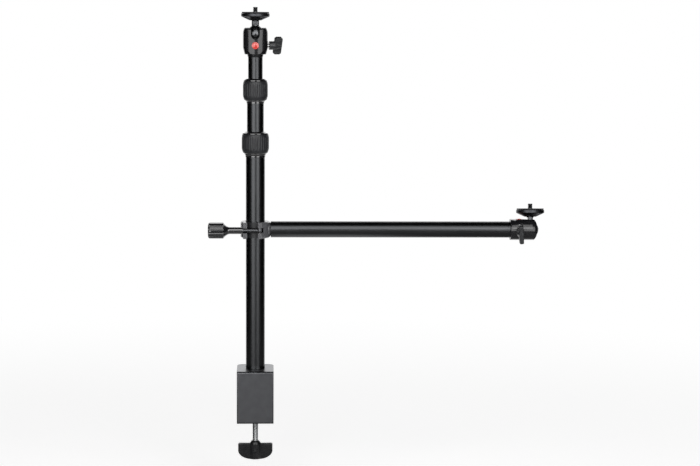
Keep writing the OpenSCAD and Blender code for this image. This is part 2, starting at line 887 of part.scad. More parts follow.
module fixed_jaw() {
    half_h = collar_h / 2;
    half_k = knuckle_h / 2;
    color("#303032")
    translate([0, 0, arm_h])
    difference() {
        union() {
            difference() {
                collar_ring();
                translate([-big - split_x + split_gap / 2, -big, -big]) cube([big, 2 * big, 2 * big]);
                translate([-big + right_ear_x, -big, -big]) cube([big, big, 2 * big]);
                knuckle_room(-half_k - knuckle_clear, half_k + knuckle_clear);
            }
            ear(right_ear_x);
            rotate([0, 90, 0]) cylinder(h = boss_x - boss_edge_len, r = boss_r);
            translate([boss_x - boss_edge_len - fit_gap, 0, 0]) rotate([0, 90, 0])
                cylinder(h = boss_edge_len + fit_gap, r1 = boss_r, r2 = boss_r - boss_edge);
            knuckle(half_k, half_h, knuckle_r);
            knuckle(-half_h, -half_k, knuckle_r);
        }
        jaw_bore();
        at_hinge() translate([0, 0, -big / 2]) cylinder(h = big, r = hinge_pin_r + fit_gap);
        // Slot and pin hole of the swing bolt
        translate([swing_x - big, -big - swing_y + swing_bolt_r + face_gap, -ear_slot_h / 2])
            cube([big + swing_eye_r + face_gap, big, ear_slot_h]);
        translate([swing_x, -swing_y, -ear_slot_h / 2])
            cylinder(h = ear_slot_h, r = swing_eye_r + face_gap);
        translate([swing_x, -swing_y, -collar_h])
            cylinder(h = 2 * collar_h, r = swing_pin_r + fit_gap);
        // Hole and flat seat of the arm bolt
        rotate([0, 90, 0]) cylinder(h = big, r = arm_bolt_r + fit_gap);
        rotate([0, 90, 0])
            cylinder(h = arm_bolt_head_x + arm_bolt_head_h, r = arm_bolt_head_r + face_gap);
    }
}

module hinged_jaw() {
    half_k = knuckle_h / 2;
    half_h = collar_h / 2;
    color("#303032")
    translate([0, 0, arm_h])
    difference() {
        union() {
            difference() {
                collar_ring();
                translate([-split_x - split_gap / 2, -big, -big]) cube([big, 2 * big, 2 * big]);
                translate([-left_ear_x + ear_t, -big, -big]) cube([big, big, 2 * big]);
                knuckle_room(half_k - knuckle_clear, big);
                knuckle_room(-big, knuckle_clear - half_k);
            }
            ear(-left_ear_x);
            knuckle(knuckle_clear - half_k, half_k - knuckle_clear, knuckle_r);
        }
        jaw_bore();
        at_hinge() translate([0, 0, -big / 2]) cylinder(h = big, r = hinge_pin_r + run_gap);
        // Open slot that lets the swing bolt out to the front
        translate([-big, -big - swing_y + swing_bolt_r + face_gap, -ear_slot_h / 2])
            cube([big, big, ear_slot_h]);
    }
}

module jaw_hinge_pin() {
    color("silver")
    translate([0, 0, arm_h]) at_hinge() cylinder(h = collar_h, r = hinge_pin_r, center = true);
}

module swing_bolt_pin() {
    color("silver")
    translate([swing_x, -swing_y, arm_h]) cylinder(h = collar_h, r = swing_pin_r, center = true);
}

module swing_bolt() {
    color("#4a4a4c")
    translate([0, -swing_y, arm_h])
    difference() {
        union() {
            translate([swing_x, 0, 0]) cylinder(h = eye_h, r = swing_eye_r, center = true);
            translate([-bolt_end_x, 0, 0]) rotate([0, 90, 0])
                cylinder(h = bolt_end_x + swing_x - swing_pin_r - eye_wall_lap, r = swing_bolt_r);
        }
        translate([swing_x, 0, 0])
            cylinder(h = collar_h, r = swing_pin_r + run_gap, center = true);
    }
}

// The knob's outline runs from its neck at z = 0 along a flare to its rounded end
module collar_knob_shape() {
    end_z = neck_len + flare_len + knob_len;
    flare = [
        for (i = [0 : flare_steps])
            let (t = i / flare_steps)
            [neck_r + (knob_r - neck_r) * pow(t, flare_power), neck_len + flare_len * t]
    ];
    round_end = [
        for (a = [0 : 22.5 : 90])
            [knob_r - knob_edge_r * (1 - cos(a)), end_z - knob_edge_r * (1 - sin(a))]
    ];
    start = [[0, 0], [neck_r - neck_edge, 0], [neck_r, neck_edge]];
    rotate_extrude() polygon(concat(start, flare, round_end, [[0, end_z]]));
}

module collar_knob() {
    color("#161618")
    translate([-knob_start_x, -swing_y, arm_h]) rotate([0, -90, 0])
    difference() {
        collar_knob_shape();
        translate([0, 0, -over])
            cylinder(h = bolt_end_x - knob_start_x + knob_gap + over, r = swing_bolt_r + run_gap);
        for (i = [0 : knob_flutes - 1])
            rotate([0, 0, 360 * i / knob_flutes])
                translate([0, flute_depth - knob_r - flute_r, neck_len + flare_len - over])
                    cylinder(h = knob_len + 2 * over, r = flute_r, $fn = 32);
    }
}

// Arm tube and its plugs

module arm_tube() {
    color("#1b1b1d")
    translate([0, 0, arm_h]) rotate([0, 90, 0]) ring(arm_r, arm_bore_r, boss_x, arm_end_x);
}

module arm_inner_plug() {
    color("#1d1d1f")
    translate([0, 0, arm_h]) rotate([0, 90, 0])
        ring(arm_bore_r - fit_gap, arm_bolt_r + fit_gap, boss_x, boss_x + arm_plug_len);
}

module arm_bolt() {
    color("silver")
    translate([0, 0, arm_h]) rotate([0, 90, 0])
    difference() {
        union() {
            translate([0, 0, arm_bolt_head_x])
                cylinder(h = arm_bolt_head_h, r = arm_bolt_head_r);
            translate([0, 0, arm_bolt_head_x])
                cylinder(h = arm_bolt_end_x - arm_bolt_head_x, r = arm_bolt_r);
        }
        translate([0, 0, arm_bolt_head_x - over])
            cylinder(h = arm_socket_depth + over, r = arm_socket_r, $fn = 6);
    }
}

module arm_outer_plug() {
    color("#1d1d1f")
    translate([0, 0, arm_h]) rotate([0, 90, 0]) {
        translate([0, 0, arm_end_x - arm_plug_len])
            cylinder(h = arm_plug_len + over, r = arm_bore_r - fit_gap);
        translate([0, 0, arm_end_x]) cylinder(h = arm_flange_h, r = arm_r - arm_flange_in);
        translate([0, 0, arm_end_x + arm_flange_h - over])
            cylinder(h = head_stud_h + over, r = head_stud_r);
    }
}

// Ball head

module housing_shape() {
    base_r = head_r - head_base_in;
    crown = [
        for (a = [0 : 15 : 90])
            [head_r - head_crown_in * (1 - cos(a)), ball_z + ball_drop * sin(a)]
    ];
    foot = [[0, 0], [base_r - head_base_edge, 0], [base_r, head_base_edge], [head_r, head_base_h]];
    intersection() {
        rotate_extrude() polygon(concat(foot, crown, [[0, head_h]]));
        oval_sides();
        translate([0, 0, head_h - dome_r]) rotate([0, 90, 0])
            cylinder(h = big, r = dome_r, center = true);
    }
}

// The two long sides are drawn in, which makes the housing oval
module oval_sides() {
    intersection() {
        translate([0, oval_r - head_half_d, -over]) cylinder(h = head_h + 2 * over, r = oval_r);
        translate([0, head_half_d - oval_r, -over]) cylinder(h = head_h + 2 * over, r = oval_r);
    }
}

// The bevel starts a little inside the housing's side and widens past it
module notch() {
    half_w = notch_w / 2;
    foot_z = head_h - notch_depth + half_w;
    bevel_y = head_half_d - 1.25 * notch_bevel;
    flare = 3 * notch_bevel;
    translate([-half_w, -big, foot_z]) cube([notch_w, big, big]);
    translate([0, 0, foot_z]) rotate([90, 0, 0]) cylinder(h = big, r = half_w);
    translate([0, -bevel_y, foot_z]) rotate([90, 0, 0])
        cylinder(h = flare, r1 = half_w, r2 = half_w + flare);
    translate([0, 0, foot_z]) linear_extrude(height = head_h)
        polygon([
            [-half_w, -bevel_y],
            [half_w, -bevel_y],
            [half_w + flare, -bevel_y - flare],
            [-half_w - flare, -bevel_y - flare]
        ]);
}

module housing() {
    lip_r = mouth_r - mouth_flare;
    lip_z = ball_z + sqrt(pow(cavity_r, 2) - pow(lip_r, 2));
    difference() {
        housing_shape();
        translate([0, 0, -over]) cylinder(h = ball_z + over, r = cavity_r);
        translate([0, 0, ball_z]) sphere(r = cavity_r);
        translate([0, 0, lip_z])
            cylinder(h = head_h - lip_z + fit_gap, r1 = lip_r, r2 = mouth_r);
        notch();
        along_lock_screw(0) cylinder(h = big, r = lock_screw_r + run_gap);
        badge_hole();
    }
}

module badge_hole() {
    translate([0, 0, lock_z]) rotate([90, 0, 0])
        translate([0, 0, head_half_d - badge_seat]) cylinder(h = big, r = badge_r + fit_gap);
}

module base_insert() {
    difference() {
        cylinder(h = insert_top_z, r = cavity_r - fit_gap);
        translate([0, 0, -over]) cylinder(h = socket_h + over, r = head_stud_r + run_gap);
        translate([0, 0, thrust_z - fit_gap]) cylinder(h = big, r = thrust_r + run_gap);
        along_lock_screw(0) cylinder(h = big, r = lock_screw_r + run_gap);
    }
}

module ball_seat() {
    difference() {
        translate([0, 0, seat_z]) cylinder(h = seat_top_z - seat_z, r = cavity_r - fit_gap);
        translate([0, 0, ball_z]) sphere(r = ball_r + run_gap);
    }
}

module thrust_pin() {
    difference() {
        translate([0, 0, thrust_z]) cylinder(h = seat_z - thrust_z - fit_gap, r = thrust_r);
        along_lock_screw(0)
            cylinder(h = thrust_r + over, r1 = lock_screw_r / 4, r2 = lock_screw_r + thrust_cone_out);
    }
}

module badge() {
    cap_r = (pow(badge_r, 2) + pow(badge_rise, 2)) / (2 * badge_rise);
    translate([0, 0, lock_z]) rotate([90, 0, 0]) {
        translate([0, 0, head_half_d - badge_seat]) cylinder(h = badge_seat, r = badge_r);
        intersection() {
            translate([0, 0, head_half_d - badge_lap])
                cylinder(h = badge_rise + badge_lap, r = badge_r);
            translate([0, 0, head_half_d + badge_rise - cap_r]) sphere(r = cap_r);
        }
    }
}

module ball_stud() {
    difference() {
        union() {
            sphere(r = ball_r);
            cylinder(h = plate_rise, r = stem_r);
            cylinder(h = plate_rise + stem_spigot_h, r = stem_spigot_r);
        }
        for (s = [-1, 1])
            translate([-big / 2, s * stem_flats / 2 - (s < 0 ? big : 0), ball_r])
                cube([big, big, plate_rise - ball_r - stem_flat_gap]);
    }
}

module plate_rib() {
    linear_extrude(height = plate_top_z)
        polygon([
            [0, -rib_half_w],
            [0, rib_half_w],
            [plate_hub_r, rib_hub_half_w],
            [plate_r, rib_rim_half_w],
            [plate_r, -rib_rim_half_w],
            [plate_hub_r, -rib_hub_half_w]
        ]);
}

// Height of the cone's underside at a radius
function plate_under_z(r) = plate_rise + plate_cone_h * (r - plate_hub_r) / (plate_r - plate_hub_r);

module plate_hollows() {
    edge_in = plate_hub_r + hollow_hub_wall;
    edge_out = plate_r - hollow_rim_wall;
    slope_in = edge_in + hollow_slope_in;
    slope_out = edge_out - hollow_slope_out;
    difference() {
        rotate_extrude()
            polygon([
                [edge_in, 0],
                [edge_out, 0],
                [edge_out, plate_under_z(edge_out)],
                [slope_out, plate_under_z(slope_out) + plate_hollow],
                [slope_in, plate_under_z(slope_in) + plate_hollow],
                [edge_in, plate_under_z(edge_in)]
            ]);
        for (i = [0 : 3])
            rotate([0, 0, 90 * i]) plate_rib();
    }
}

module camera_plate() {
    bore_r = screw_neck_r + fit_gap;
    difference() {
        rotate_extrude()
            polygon([
                [bore_r, plate_rise],
                [plate_hub_r, plate_rise],
                [plate_r - plate_edge, plate_cone_z - cone_edge],
                [plate_r, plate_cone_z + cone_edge],
                [plate_r, plate_top_z - plate_edge],
                [plate_r - plate_edge, plate_top_z],
                [bore_r, plate_top_z]
            ]);
        plate_hollows();
        translate([0, 0, plate_rise - over])
            cylinder(h = stem_spigot_h + over + fit_gap, r = stem_spigot_r + run_gap);
    }
}

module plate_pad() {
    ring(plate_r - plate_edge, pad_hole_r, plate_top_z, pad_top_z);
}

// The thread starts level with the rubber ring's top, on a thinner neck that the plate holds
module camera_screw() {
    translate([0, 0, screw_start_z])
        cylinder(h = pad_top_z - screw_start_z, r = screw_neck_r);
    translate([0, 0, pad_top_z])
        cylinder(h = camera_screw_show - screw_tip, r = camera_screw_r);
    translate([0, 0, pad_top_z + camera_screw_show - screw_tip])
        cylinder(h = screw_tip, r1 = camera_screw_r, r2 = camera_screw_r - screw_tip);
}

// The locking knob and screw are drawn up z from the housing's axis

module lock_knob() {
    half_len = lock_bar_len / 2;
    cone_r = lock_bar_t / 2 + lock_cone_wall;
    difference() {
        union() {
            translate([0, 0, lock_hub_z]) cylinder(h = lock_hub_h + over, r = lock_hub_r);
            intersection() {
                rotate([90, 0, 0])
                    linear_extrude(height = lock_bar_t, center = true)
                        round_rect(-half_len, lock_bar_z, half_len, lock_bar_end, lock_bar_corner);
                translate([0, 0, lock_bar_z]) cylinder(h = lock_bar_h, r = half_len);
            }
            translate([0, 0, lock_bar_z])
                cylinder(h = lock_bar_h - lock_cone_short, r1 = lock_hub_r, r2 = cone_r);
        }
        cylinder(h = lock_screw_end + fit_gap, r = lock_screw_r + fit_gap);
    }
}

module lock_screw() {
    shank_z = lock_screw_tip + lock_screw_point;
    translate([0, 0, shank_z]) cylinder(h = lock_screw_end - shank_z, r = lock_screw_r);
    translate([0, 0, lock_screw_tip])
        cylinder(h = lock_screw_point + fit_gap, r1 = lock_screw_r / 5, r2 = lock_screw_r);
}

// Upper ball head

module top_housing() {
    color("#1c1c1e") at_top_head() housing();
}

module top_base_insert() {
    color("silver") at_top_head() base_insert();
}

module top_ball_seat() {
    color("#e8e8e6") at_top_head() ball_seat();
}

module top_thrust_pin() {
    color("silver") at_top_head() thrust_pin();
}

module top_badge() {
    color("#d8352c") at_top_head() badge();
}

module top_ball_stud() {
    color("#4a4a4c") at_top_head() at_ball(0) ball_stud();
}

module top_plate() {
    color("#262628") at_top_head() at_ball(0) rotate([0, 0, top_plate_turn - 90]) camera_plate();
}

module top_plate_pad() {
    color("#202022") at_top_head() at_ball(0) plate_pad();
}

module top_camera_screw() {
    color("#2e2e30") at_top_head() at_ball(0) camera_screw();
}

module top_lock_knob() {
    color("#2a2a2c") at_top_head() along_lock_screw(top_knob_turn) lock_knob();
}

module top_lock_screw() {
    color("silver") at_top_head() along_lock_screw(0) lock_screw();
}

// Arm ball head, with its stud laid over into the notch

module arm_housing() {
    color("#1c1c1e") at_arm_head() housing();
}

module arm_base_insert() {
    color("silver") at_arm_head() base_insert();
}

module arm_ball_seat() {
    color("#e8e8e6") at_arm_head() ball_seat();
}

module arm_thrust_pin() {
    color("silver") at_arm_head() thrust_pin();
}

module arm_badge() {
    color("#d8352c") at_arm_head() badge();
}

module arm_ball_stud() {
    color("#4a4a4c") at_arm_head() at_ball(arm_tilt) ball_stud();
}

module arm_plate() {
    color("#262628") at_arm_head() at_ball(arm_tilt) rotate([0, 0, arm_plate_turn]) camera_plate();
}

module arm_plate_pad() {
    color("#202022") at_arm_head() at_ball(arm_tilt) plate_pad();
}

module arm_camera_screw() {
    color("#2e2e30") at_arm_head() at_ball(arm_tilt) camera_screw();
}

module arm_lock_knob() {
    color("#2a2a2c") at_arm_head() along_lock_screw(arm_knob_turn) lock_knob();
}

module arm_lock_screw() {
    color("silver") at_arm_head() along_lock_screw(0) lock_screw();
}

clamp_frame();
upper_jaw_pad();
base_bolt();
pole_foot();
outer_tube();
lower_lock_sleeve();
lower_lock_collet();
lower_lock_nut();
lower_lock_grip();
mid_tube();
mid_guide_bush();
upper_lock_sleeve();
upper_lock_collet();
upper_lock_nut();
upper_lock_grip();
top_tube();
top_guide_bush();
top_end_plug();
pressure_cup();
pressure_rubber();
swivel_clip();
clamp_screw();
wing_knob();
knob_pin();
collar_liner();
fixed_jaw();
hinged_jaw();
jaw_hinge_pin();
swing_bolt_pin();
swing_bolt();
collar_knob();
arm_tube();
arm_inner_plug();
arm_bolt();
arm_outer_plug();
top_housing();
top_base_insert();
top_ball_seat();
top_thrust_pin();
top_badge();
top_ball_stud();
top_plate();
top_plate_pad();
top_camera_screw();
top_lock_knob();
top_lock_screw();
arm_housing();
arm_base_insert();
arm_ball_seat();
arm_thrust_pin();
arm_badge();
arm_ball_stud();
arm_plate();
arm_plate_pad();
arm_camera_screw();
arm_lock_knob();
arm_lock_screw();
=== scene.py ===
# %% [markdown]
# # A desk clamp, a telescoping pole and a side arm with two ball heads
#
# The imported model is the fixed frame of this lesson: every piece is already at its real size and
# place. Here each surface gets the finish it has on the real arm, and the pieces that live by their
# detail, such as threads, ribbed grips and rounded knobs, are built again as finer meshes in the
# same place.

# %% Load the frame
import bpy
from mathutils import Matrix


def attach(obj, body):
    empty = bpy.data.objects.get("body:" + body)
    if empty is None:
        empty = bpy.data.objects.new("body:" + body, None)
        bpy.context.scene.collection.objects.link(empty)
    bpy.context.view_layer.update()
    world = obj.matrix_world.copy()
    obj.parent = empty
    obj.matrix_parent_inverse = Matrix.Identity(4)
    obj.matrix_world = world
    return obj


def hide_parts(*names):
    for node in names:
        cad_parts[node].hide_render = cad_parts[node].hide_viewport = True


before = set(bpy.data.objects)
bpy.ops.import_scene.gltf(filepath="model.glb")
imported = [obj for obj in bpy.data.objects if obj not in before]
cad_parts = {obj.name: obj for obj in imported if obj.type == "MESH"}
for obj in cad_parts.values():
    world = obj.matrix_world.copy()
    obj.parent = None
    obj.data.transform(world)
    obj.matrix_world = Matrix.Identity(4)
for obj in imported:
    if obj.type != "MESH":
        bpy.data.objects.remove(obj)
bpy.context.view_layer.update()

# %% The libraries, and the box of the untouched model
import math

import bmesh
import bpy
from mathutils import Matrix, Vector

MM = 0.001


# %% [markdown]
# ## The camera
#
# The photograph was taken with a long lens, from about the height of the upper ball head: its plate
# is seen edge on, while the clamp's top face shows as a thin strip. A long lens could be faked with
# an orthographic camera, but then that strip would vanish, so this is a real perspective, two and a
# half metres away. The angles were found by matching the edges of the tubes, heads and clamp.

# %% Camera
CAMERA_AT = Vector((0.0161, -2.478, 0.462))
CAMERA_YAW = 2.52
CAMERA_PITCH = 6.313
CAMERA_ROLL = 0.328
CAMERA_LENS = 96.93

lens = bpy.data.cameras.new("camera")
lens.lens = CAMERA_LENS
lens.clip_end = 50
camera = bpy.data.objects.new("camera", lens)
tipped = Matrix.Rotation(math.radians(90 - CAMERA_PITCH), 4, "X")
turned_right = Matrix.Rotation(math.radians(-CAMERA_YAW), 4, "Z")
rolled = Matrix.Rotation(math.radians(CAMERA_ROLL), 4, "Z")
camera.matrix_world = Matrix.Translation(CAMERA_AT) @ turned_right @ tipped @ rolled
bpy.context.scene.collection.objects.link(camera)
bpy.context.scene.camera = camera
bpy.context.scene.view_settings.view_transform = "Standard"
print("camera", [round(v, 3) for v in camera.location], "lens", lens.lens)

# %% [markdown]
# ## Nodes and colours
#
# A material is a small graph of nodes. They could be added and linked by hand, line by line, but
# one helper that takes a node's settings and what feeds its sockets keeps each finish short enough
# to read in one look. Colours are written as they are picked on a screen, so one function turns
# them to the linear values that the renderer works in.


# %% Node and colour helpers
def add(tree, kind, feeds=None, **settings):
    """Adds one shader node, sets its settings, and fills or links its sockets."""
    made = tree.nodes.new("ShaderNode" + kind)
    for key, value in settings.items():
        setattr(made, key, value)
    for socket, value in (feeds or {}).items():
        if isinstance(value, bpy.types.NodeSocket):
            tree.links.new(value, made.inputs[socket])
        else:
            made.inputs[socket].default_value = value
    return made


def linear(code):
    """A colour such as '3a3b3d' as linear red, green, blue and alpha."""
    channels = [int(code[i:i + 2], 16) / 255 for i in (0, 2, 4)]
    return [c / 12.92 if c <= 0.04045 else ((c + 0.055) / 1.055) ** 2.4 for c in channels] + [1.0]


def blank(name):
    """A new material with an empty graph and its output node."""
    material = bpy.data.materials.new(name)
    material.use_nodes = True
    material.node_tree.nodes.clear()
    return material, material.node_tree, add(material.node_tree, "OutputMaterial")


print("screen grey 808080 is", round(linear("808080")[0], 3), "in linear light")

# %% [markdown]
# ## The studio
#
# Black things are photographed by what they reflect. Two wide softboxes stand left and right of the
# camera and draw the two bright bands down each tube, and a third one above the camera draws the
# one band along the arm. Black drapes round, above and on the floor beyond the set keep the gap
# between the bands, the tubes' edges and the arm's upper side dark, as in the photograph, and grey
# felt near the set's foot gives the arm's lower side its dim glow. A dim softbox behind the set
# draws the tubes' rims, and shows the object's back. The lamps could be small and strong, but wide
# ones at a plain level keep the highlights soft and render colours about as written.

# %% Softboxes
SET_CENTRE = Vector((0.08, 0.0, 0.2))
SOFTBOX_RADIANCE = 2.5
SOFTBOX_DISTANCE = 1.7
# Name, azimuth and elevation in degrees, width and height in metres, share of the radiance
SOFTBOXES = (
    ("softbox_left", -27, 8, 1.2, 1.15, 1.0),
    ("softbox_right", 29, 8, 0.96, 1.15, 0.95),
    ("softbox_above", 4, 30, 1.3, 1.25, 0.8),
    ("softbox_behind", 180, 30, 1.8, 1.2, 0.3),
)


def softbox(name, azimuth, elevation, width, height, radiance):
    """A rectangular lamp that faces the set. Azimuth 0 is the camera's side, and +90 is +X."""
    a, e = math.radians(azimuth), math.radians(elevation)
    away = Vector((math.sin(a) * math.cos(e), -math.cos(a) * math.cos(e), math.sin(e)))
    lamp = bpy.data.lights.new(name, "AREA")
    lamp.shape = "RECTANGLE"
    lamp.size, lamp.size_y = width, height
    lamp.energy = radiance * math.pi * width * height
    box = bpy.data.objects.new(name, lamp)
    box.location = SET_CENTRE + SOFTBOX_DISTANCE * away
    box.rotation_euler = away.to_track_quat("Z", "Y").to_euler()
    box.visible_camera = False
    bpy.context.scene.collection.objects.link(box)


for name, azimuth, elevation, width, height, share in SOFTBOXES:
    softbox(name, azimuth, elevation, width, height, share * SOFTBOX_RADIANCE)
print("softboxes", [row[0] for row in SOFTBOXES])

# %% [markdown]
# The world is the light that comes from everywhere. Rays that carry a picture, straight from the
# camera or by way of metal and glass, find it white: that is the background. All others find it
# dim, so it only fills the shadows a little. One strength for both would wash out the black.


# %% World: white behind the set, soft ambient light on it
AMBIENT = 0.18


def eye_rays(tree):
    """1 for the rays that carry a picture, straight, by reflection or through glass, else 0."""
    ray = add(tree, "LightPath")
    seen = add(tree, "Math", {0: ray.outputs["Is Camera Ray"], 1: ray.outputs["Is Glossy Ray"]},
               operation="MAXIMUM")
    return add(tree, "Math", {0: seen.outputs[0], 1: ray.outputs["Is Transmission Ray"]},
               operation="MAXIMUM").outputs[0]


world = bpy.data.worlds.new("studio")
world.use_nodes = True
bpy.context.scene.world = world
sky = world.node_tree
sky.nodes.clear()
soft = add(sky, "Background", {"Color": linear("ffffff"), "Strength": AMBIENT})
white = add(sky, "Background", {"Color": linear("ffffff"), "Strength": 1.0})
mixed = add(sky, "MixShader", {0: eye_rays(sky), 1: soft.outputs[0], 2: white.outputs[0]})
add(sky, "OutputWorld", {"Surface": mixed.outputs[0]})
print("world ambient", AMBIENT)

# %% [markdown]
# The floor lies under the lowest reach of the clamp screw. Its white is in its own colour and in a
# little glow that only the camera and reflections see, so it adds no light to the arm and still
# takes the arm's shadow. The glow grows with the distance from the set, so no edge shows.

# %% Floor
FLOOR_Z = -0.165
FLOOR_HALF = 14.0
FLOOR_NEAR_GLOW = 0.5
FLOOR_NEAR, FLOOR_FAR = 0.3, 1.6


def flat_mesh(name, corners):
    """A single flat face through the given corners."""
    mesh = bpy.data.meshes.new(name)
    mesh.from_pydata([tuple(c) for c in corners], [], [tuple(range(len(corners)))])
    made = bpy.data.objects.new(name, mesh)
    bpy.context.scene.collection.objects.link(made)
    return made


def level_corners(west, near, east, far, z):
    """The corners of a level rectangle."""
    return [(west, near, z), (east, near, z), (east, far, z), (west, far, z)]


floor = flat_mesh("floor", level_corners(-FLOOR_HALF, -FLOOR_HALF, FLOOR_HALF, FLOOR_HALF, FLOOR_Z))
floor_finish, tree, out = blank("pale_floor_paint")
place = add(tree, "NewGeometry")
radius = add(tree, "VectorMath", {0: place.outputs["Position"]}, operation="LENGTH")
far = add(tree, "MapRange", {"Value": radius.outputs["Value"],
                             "From Min": FLOOR_NEAR, "From Max": FLOOR_FAR},
          interpolation_type="SMOOTHSTEP")
shown = eye_rays(tree)
paint = add(tree, "BsdfDiffuse", {"Color": linear("f4f4f4")})
near_glow = add(tree, "Math", {0: shown, 1: FLOOR_NEAR_GLOW}, operation="MULTIPLY")
near = add(tree, "Emission", {"Color": linear("ffffff"), "Strength": near_glow.outputs[0]})
lit = add(tree, "AddShader", {0: paint.outputs[0], 1: near.outputs[0]})
pure = add(tree, "Emission", {"Color": linear("ffffff"), "Strength": 1.0})
blend = add(tree, "Math", {0: far.outputs[0], 1: shown}, operation="MULTIPLY")
mixed = add(tree, "MixShader", {0: blend.outputs[0], 1: lit.outputs[0], 2: pure.outputs[0]})
tree.links.new(mixed.outputs[0], out.inputs["Surface"])
floor.data.materials.append(floor_finish)
print("floor at", FLOOR_Z)

# %% [markdown]
# The black drapes are part of the stage, not of the arm. They are seen only in reflections: the
# camera looks through them, and they take no light from the set. Behind the set they leave a gap,
# so that faces that look up can mirror the white backdrop.

# %% Black drapes and grey felt
DRAPE_DISTANCE = 2.7
DRAPE_REACH = 138
DRAPE_TOP = 1.9
DRAPE_FOLDS = 12
FELT_NEAR, FELT_FAR = 0.12, 1.1
CANOPY_HALF, CANOPY_BACK = 2.8, 1.6
CLOTH_LIFT = 2 * MM


def cloth_finish(name, colour):
    """A plain, fully matt cloth."""
    made, tree, out = blank(name)
    matt = add(tree, "BsdfDiffuse", {"Color": linear(colour)})
    tree.links.new(matt.outputs[0], out.inputs["Surface"])
    return made


velvet = cloth_finish("black_velvet_drape", "0a0a0a")
felt = cloth_finish("grey_felt", "a0a0a0")


def hang(name, corners, finish):
    """One flat length of cloth that only reflections see."""
    cloth = flat_mesh(name, corners)
    cloth.data.materials.append(finish)
    cloth.visible_camera = False
    cloth.visible_diffuse = False
    cloth.visible_shadow = False
    cloth.visible_transmission = False


def round_set(distance, azimuth, height):
    """A point at this distance and azimuth from the set's centre, at this height."""
    return (SET_CENTRE.x + distance * math.sin(azimuth),
            SET_CENTRE.y - distance * math.cos(azimuth), height)


seams = [math.radians(DRAPE_REACH * (2 * k / DRAPE_FOLDS - 1)) for k in range(DRAPE_FOLDS + 1)]
for k, (a, b) in enumerate(zip(seams, seams[1:])):
    hang("drape_%02d" % k, [round_set(DRAPE_DISTANCE, s, z) for s, z in
                            ((a, FLOOR_Z), (b, FLOOR_Z), (b, DRAPE_TOP), (a, DRAPE_TOP))], velvet)
    for name, near, far, finish in (("floor_felt", FELT_NEAR, FELT_FAR, felt),
                                    ("floor_drape", FELT_FAR, DRAPE_DISTANCE, velvet)):
        hang("%s_%02d" % (name, k), [round_set(d, s, FLOOR_Z + CLOTH_LIFT) for s, d in
                                     ((a, near), (a, far), (b, far), (b, near))], finish)
hang("drape_above", level_corners(-CANOPY_HALF, -CANOPY_HALF, CANOPY_HALF, CANOPY_BACK, DRAPE_TOP),
     velvet)
print("drapes reach", DRAPE_REACH, "degrees to either side")

# %% [markdown]
# ## Finishes
#
# Real surfaces are never one flat value: metal keeps the lines of its die, castings keep sand
# grain, moulded plastic keeps the satin of the tool's cavity. Image textures could show all that,
# but they need unwrapped surfaces and are blurred near the lens. Here every pattern is computed
# from the place on the object, and its scale is worked out from real millimetres, so it stays right
# at any distance.
#
# A pixel of the picture is about 1.3 mm wide here. Die lines, dents of glass beads and oxide
# crystals are really a few hundredths of a millimetre, far too fine to show, so they are drawn a
# quarter to a half millimetre wide: as coarse as they need to be to break up a highlight.


# %% Pattern helpers
NOISE_LOW, NOISE_HIGH = 0.3, 0.7   # where nearly all of the noise's values lie


def grain(tree, size, stretch=(1, 1, 1), detail=2.0):
    """Noise with blotches about size mm across, drawn out by these factors along X, Y and Z."""
    place = add(tree, "TexCoord").outputs["Object"]
    drawn = add(tree, "Mapping", {"Vector": place, "Scale": [1 / s for s in stretch]}).outputs[0]
    return add(tree, "TexNoise", {"Vector": drawn, "Scale": 1 / (size * MM),
                                  "Detail": detail}).outputs[0]


def spread(tree, pattern, low, high):
    """The pattern's usual range, made to run from low to high."""
    return add(tree, "MapRange", {"Value": pattern, "From Min": NOISE_LOW, "From Max": NOISE_HIGH,
                                  "To Min": low, "To Max": high}).outputs[0]


def tone(tree, pattern, dark, light):
    """A colour between two screen colours, chosen by the pattern."""
    return add(tree, "Mix", {0: spread(tree, pattern, 0.0, 1.0), 6: linear(dark), 7: linear(light)},
               data_type="RGBA").outputs[2]


def relief(tree, pattern, depth, under=None):
    """A surface that rises and falls with the pattern by about depth mm."""
    feeds = {"Height": pattern, "Strength": 1.0, "Distance": depth * MM}
    if under is not None:
        feeds["Normal"] = under
    return add(tree, "Bump", feeds).outputs[0]


def surface(name, build):
    """A material whose surface sockets come from build(tree)."""
    material, tree, out = blank(name)
    shader = add(tree, "BsdfPrincipled", build(tree))
    tree.links.new(shader.outputs[0], out.inputs["Surface"])
    return material


print("noise from", NOISE_LOW, "to", NOISE_HIGH, "fills each range")

# %% [markdown]
# ### Metals
#
# The tubes are drawn aluminium, anodised black. Drawing leaves very fine lines along the tube,
# which the dye keeps. They could be scratches in the colour, but on the real tube they bend the
# light instead: the two bright bands have slightly frayed edges, while the colour stays even.


# %% Anodised tube, drawn along the pole or along the arm
LINE_LENGTH = 160   # how many times longer than wide a die line is


def drawn_tube(name, along):
    """Black anodised aluminium tube. Its die lines run along the given axis."""
    def build(tree):
        stretch = tuple(LINE_LENGTH if axis == along else 1 for axis in "XYZ")
        lines = grain(tree, 0.5, stretch, 3.0)
        clouds = grain(tree, 14, detail=3.0)
        both = add(tree, "Mix", {0: 0.35, 2: lines, 3: clouds}).outputs[0]
        return {"Base Color": tone(tree, lines, "474849", "505153"), "Metallic": 1.0,
                "Roughness": spread(tree, both, 0.26, 0.34), "Normal": relief(tree, lines, 0.002)}
    return surface(name, build)


pole_tube = drawn_tube("anodised_tube_pole", "Z")
arm_tube = drawn_tube("anodised_tube_arm", "X")
print("tube finishes", pole_tube.name, arm_tube.name)
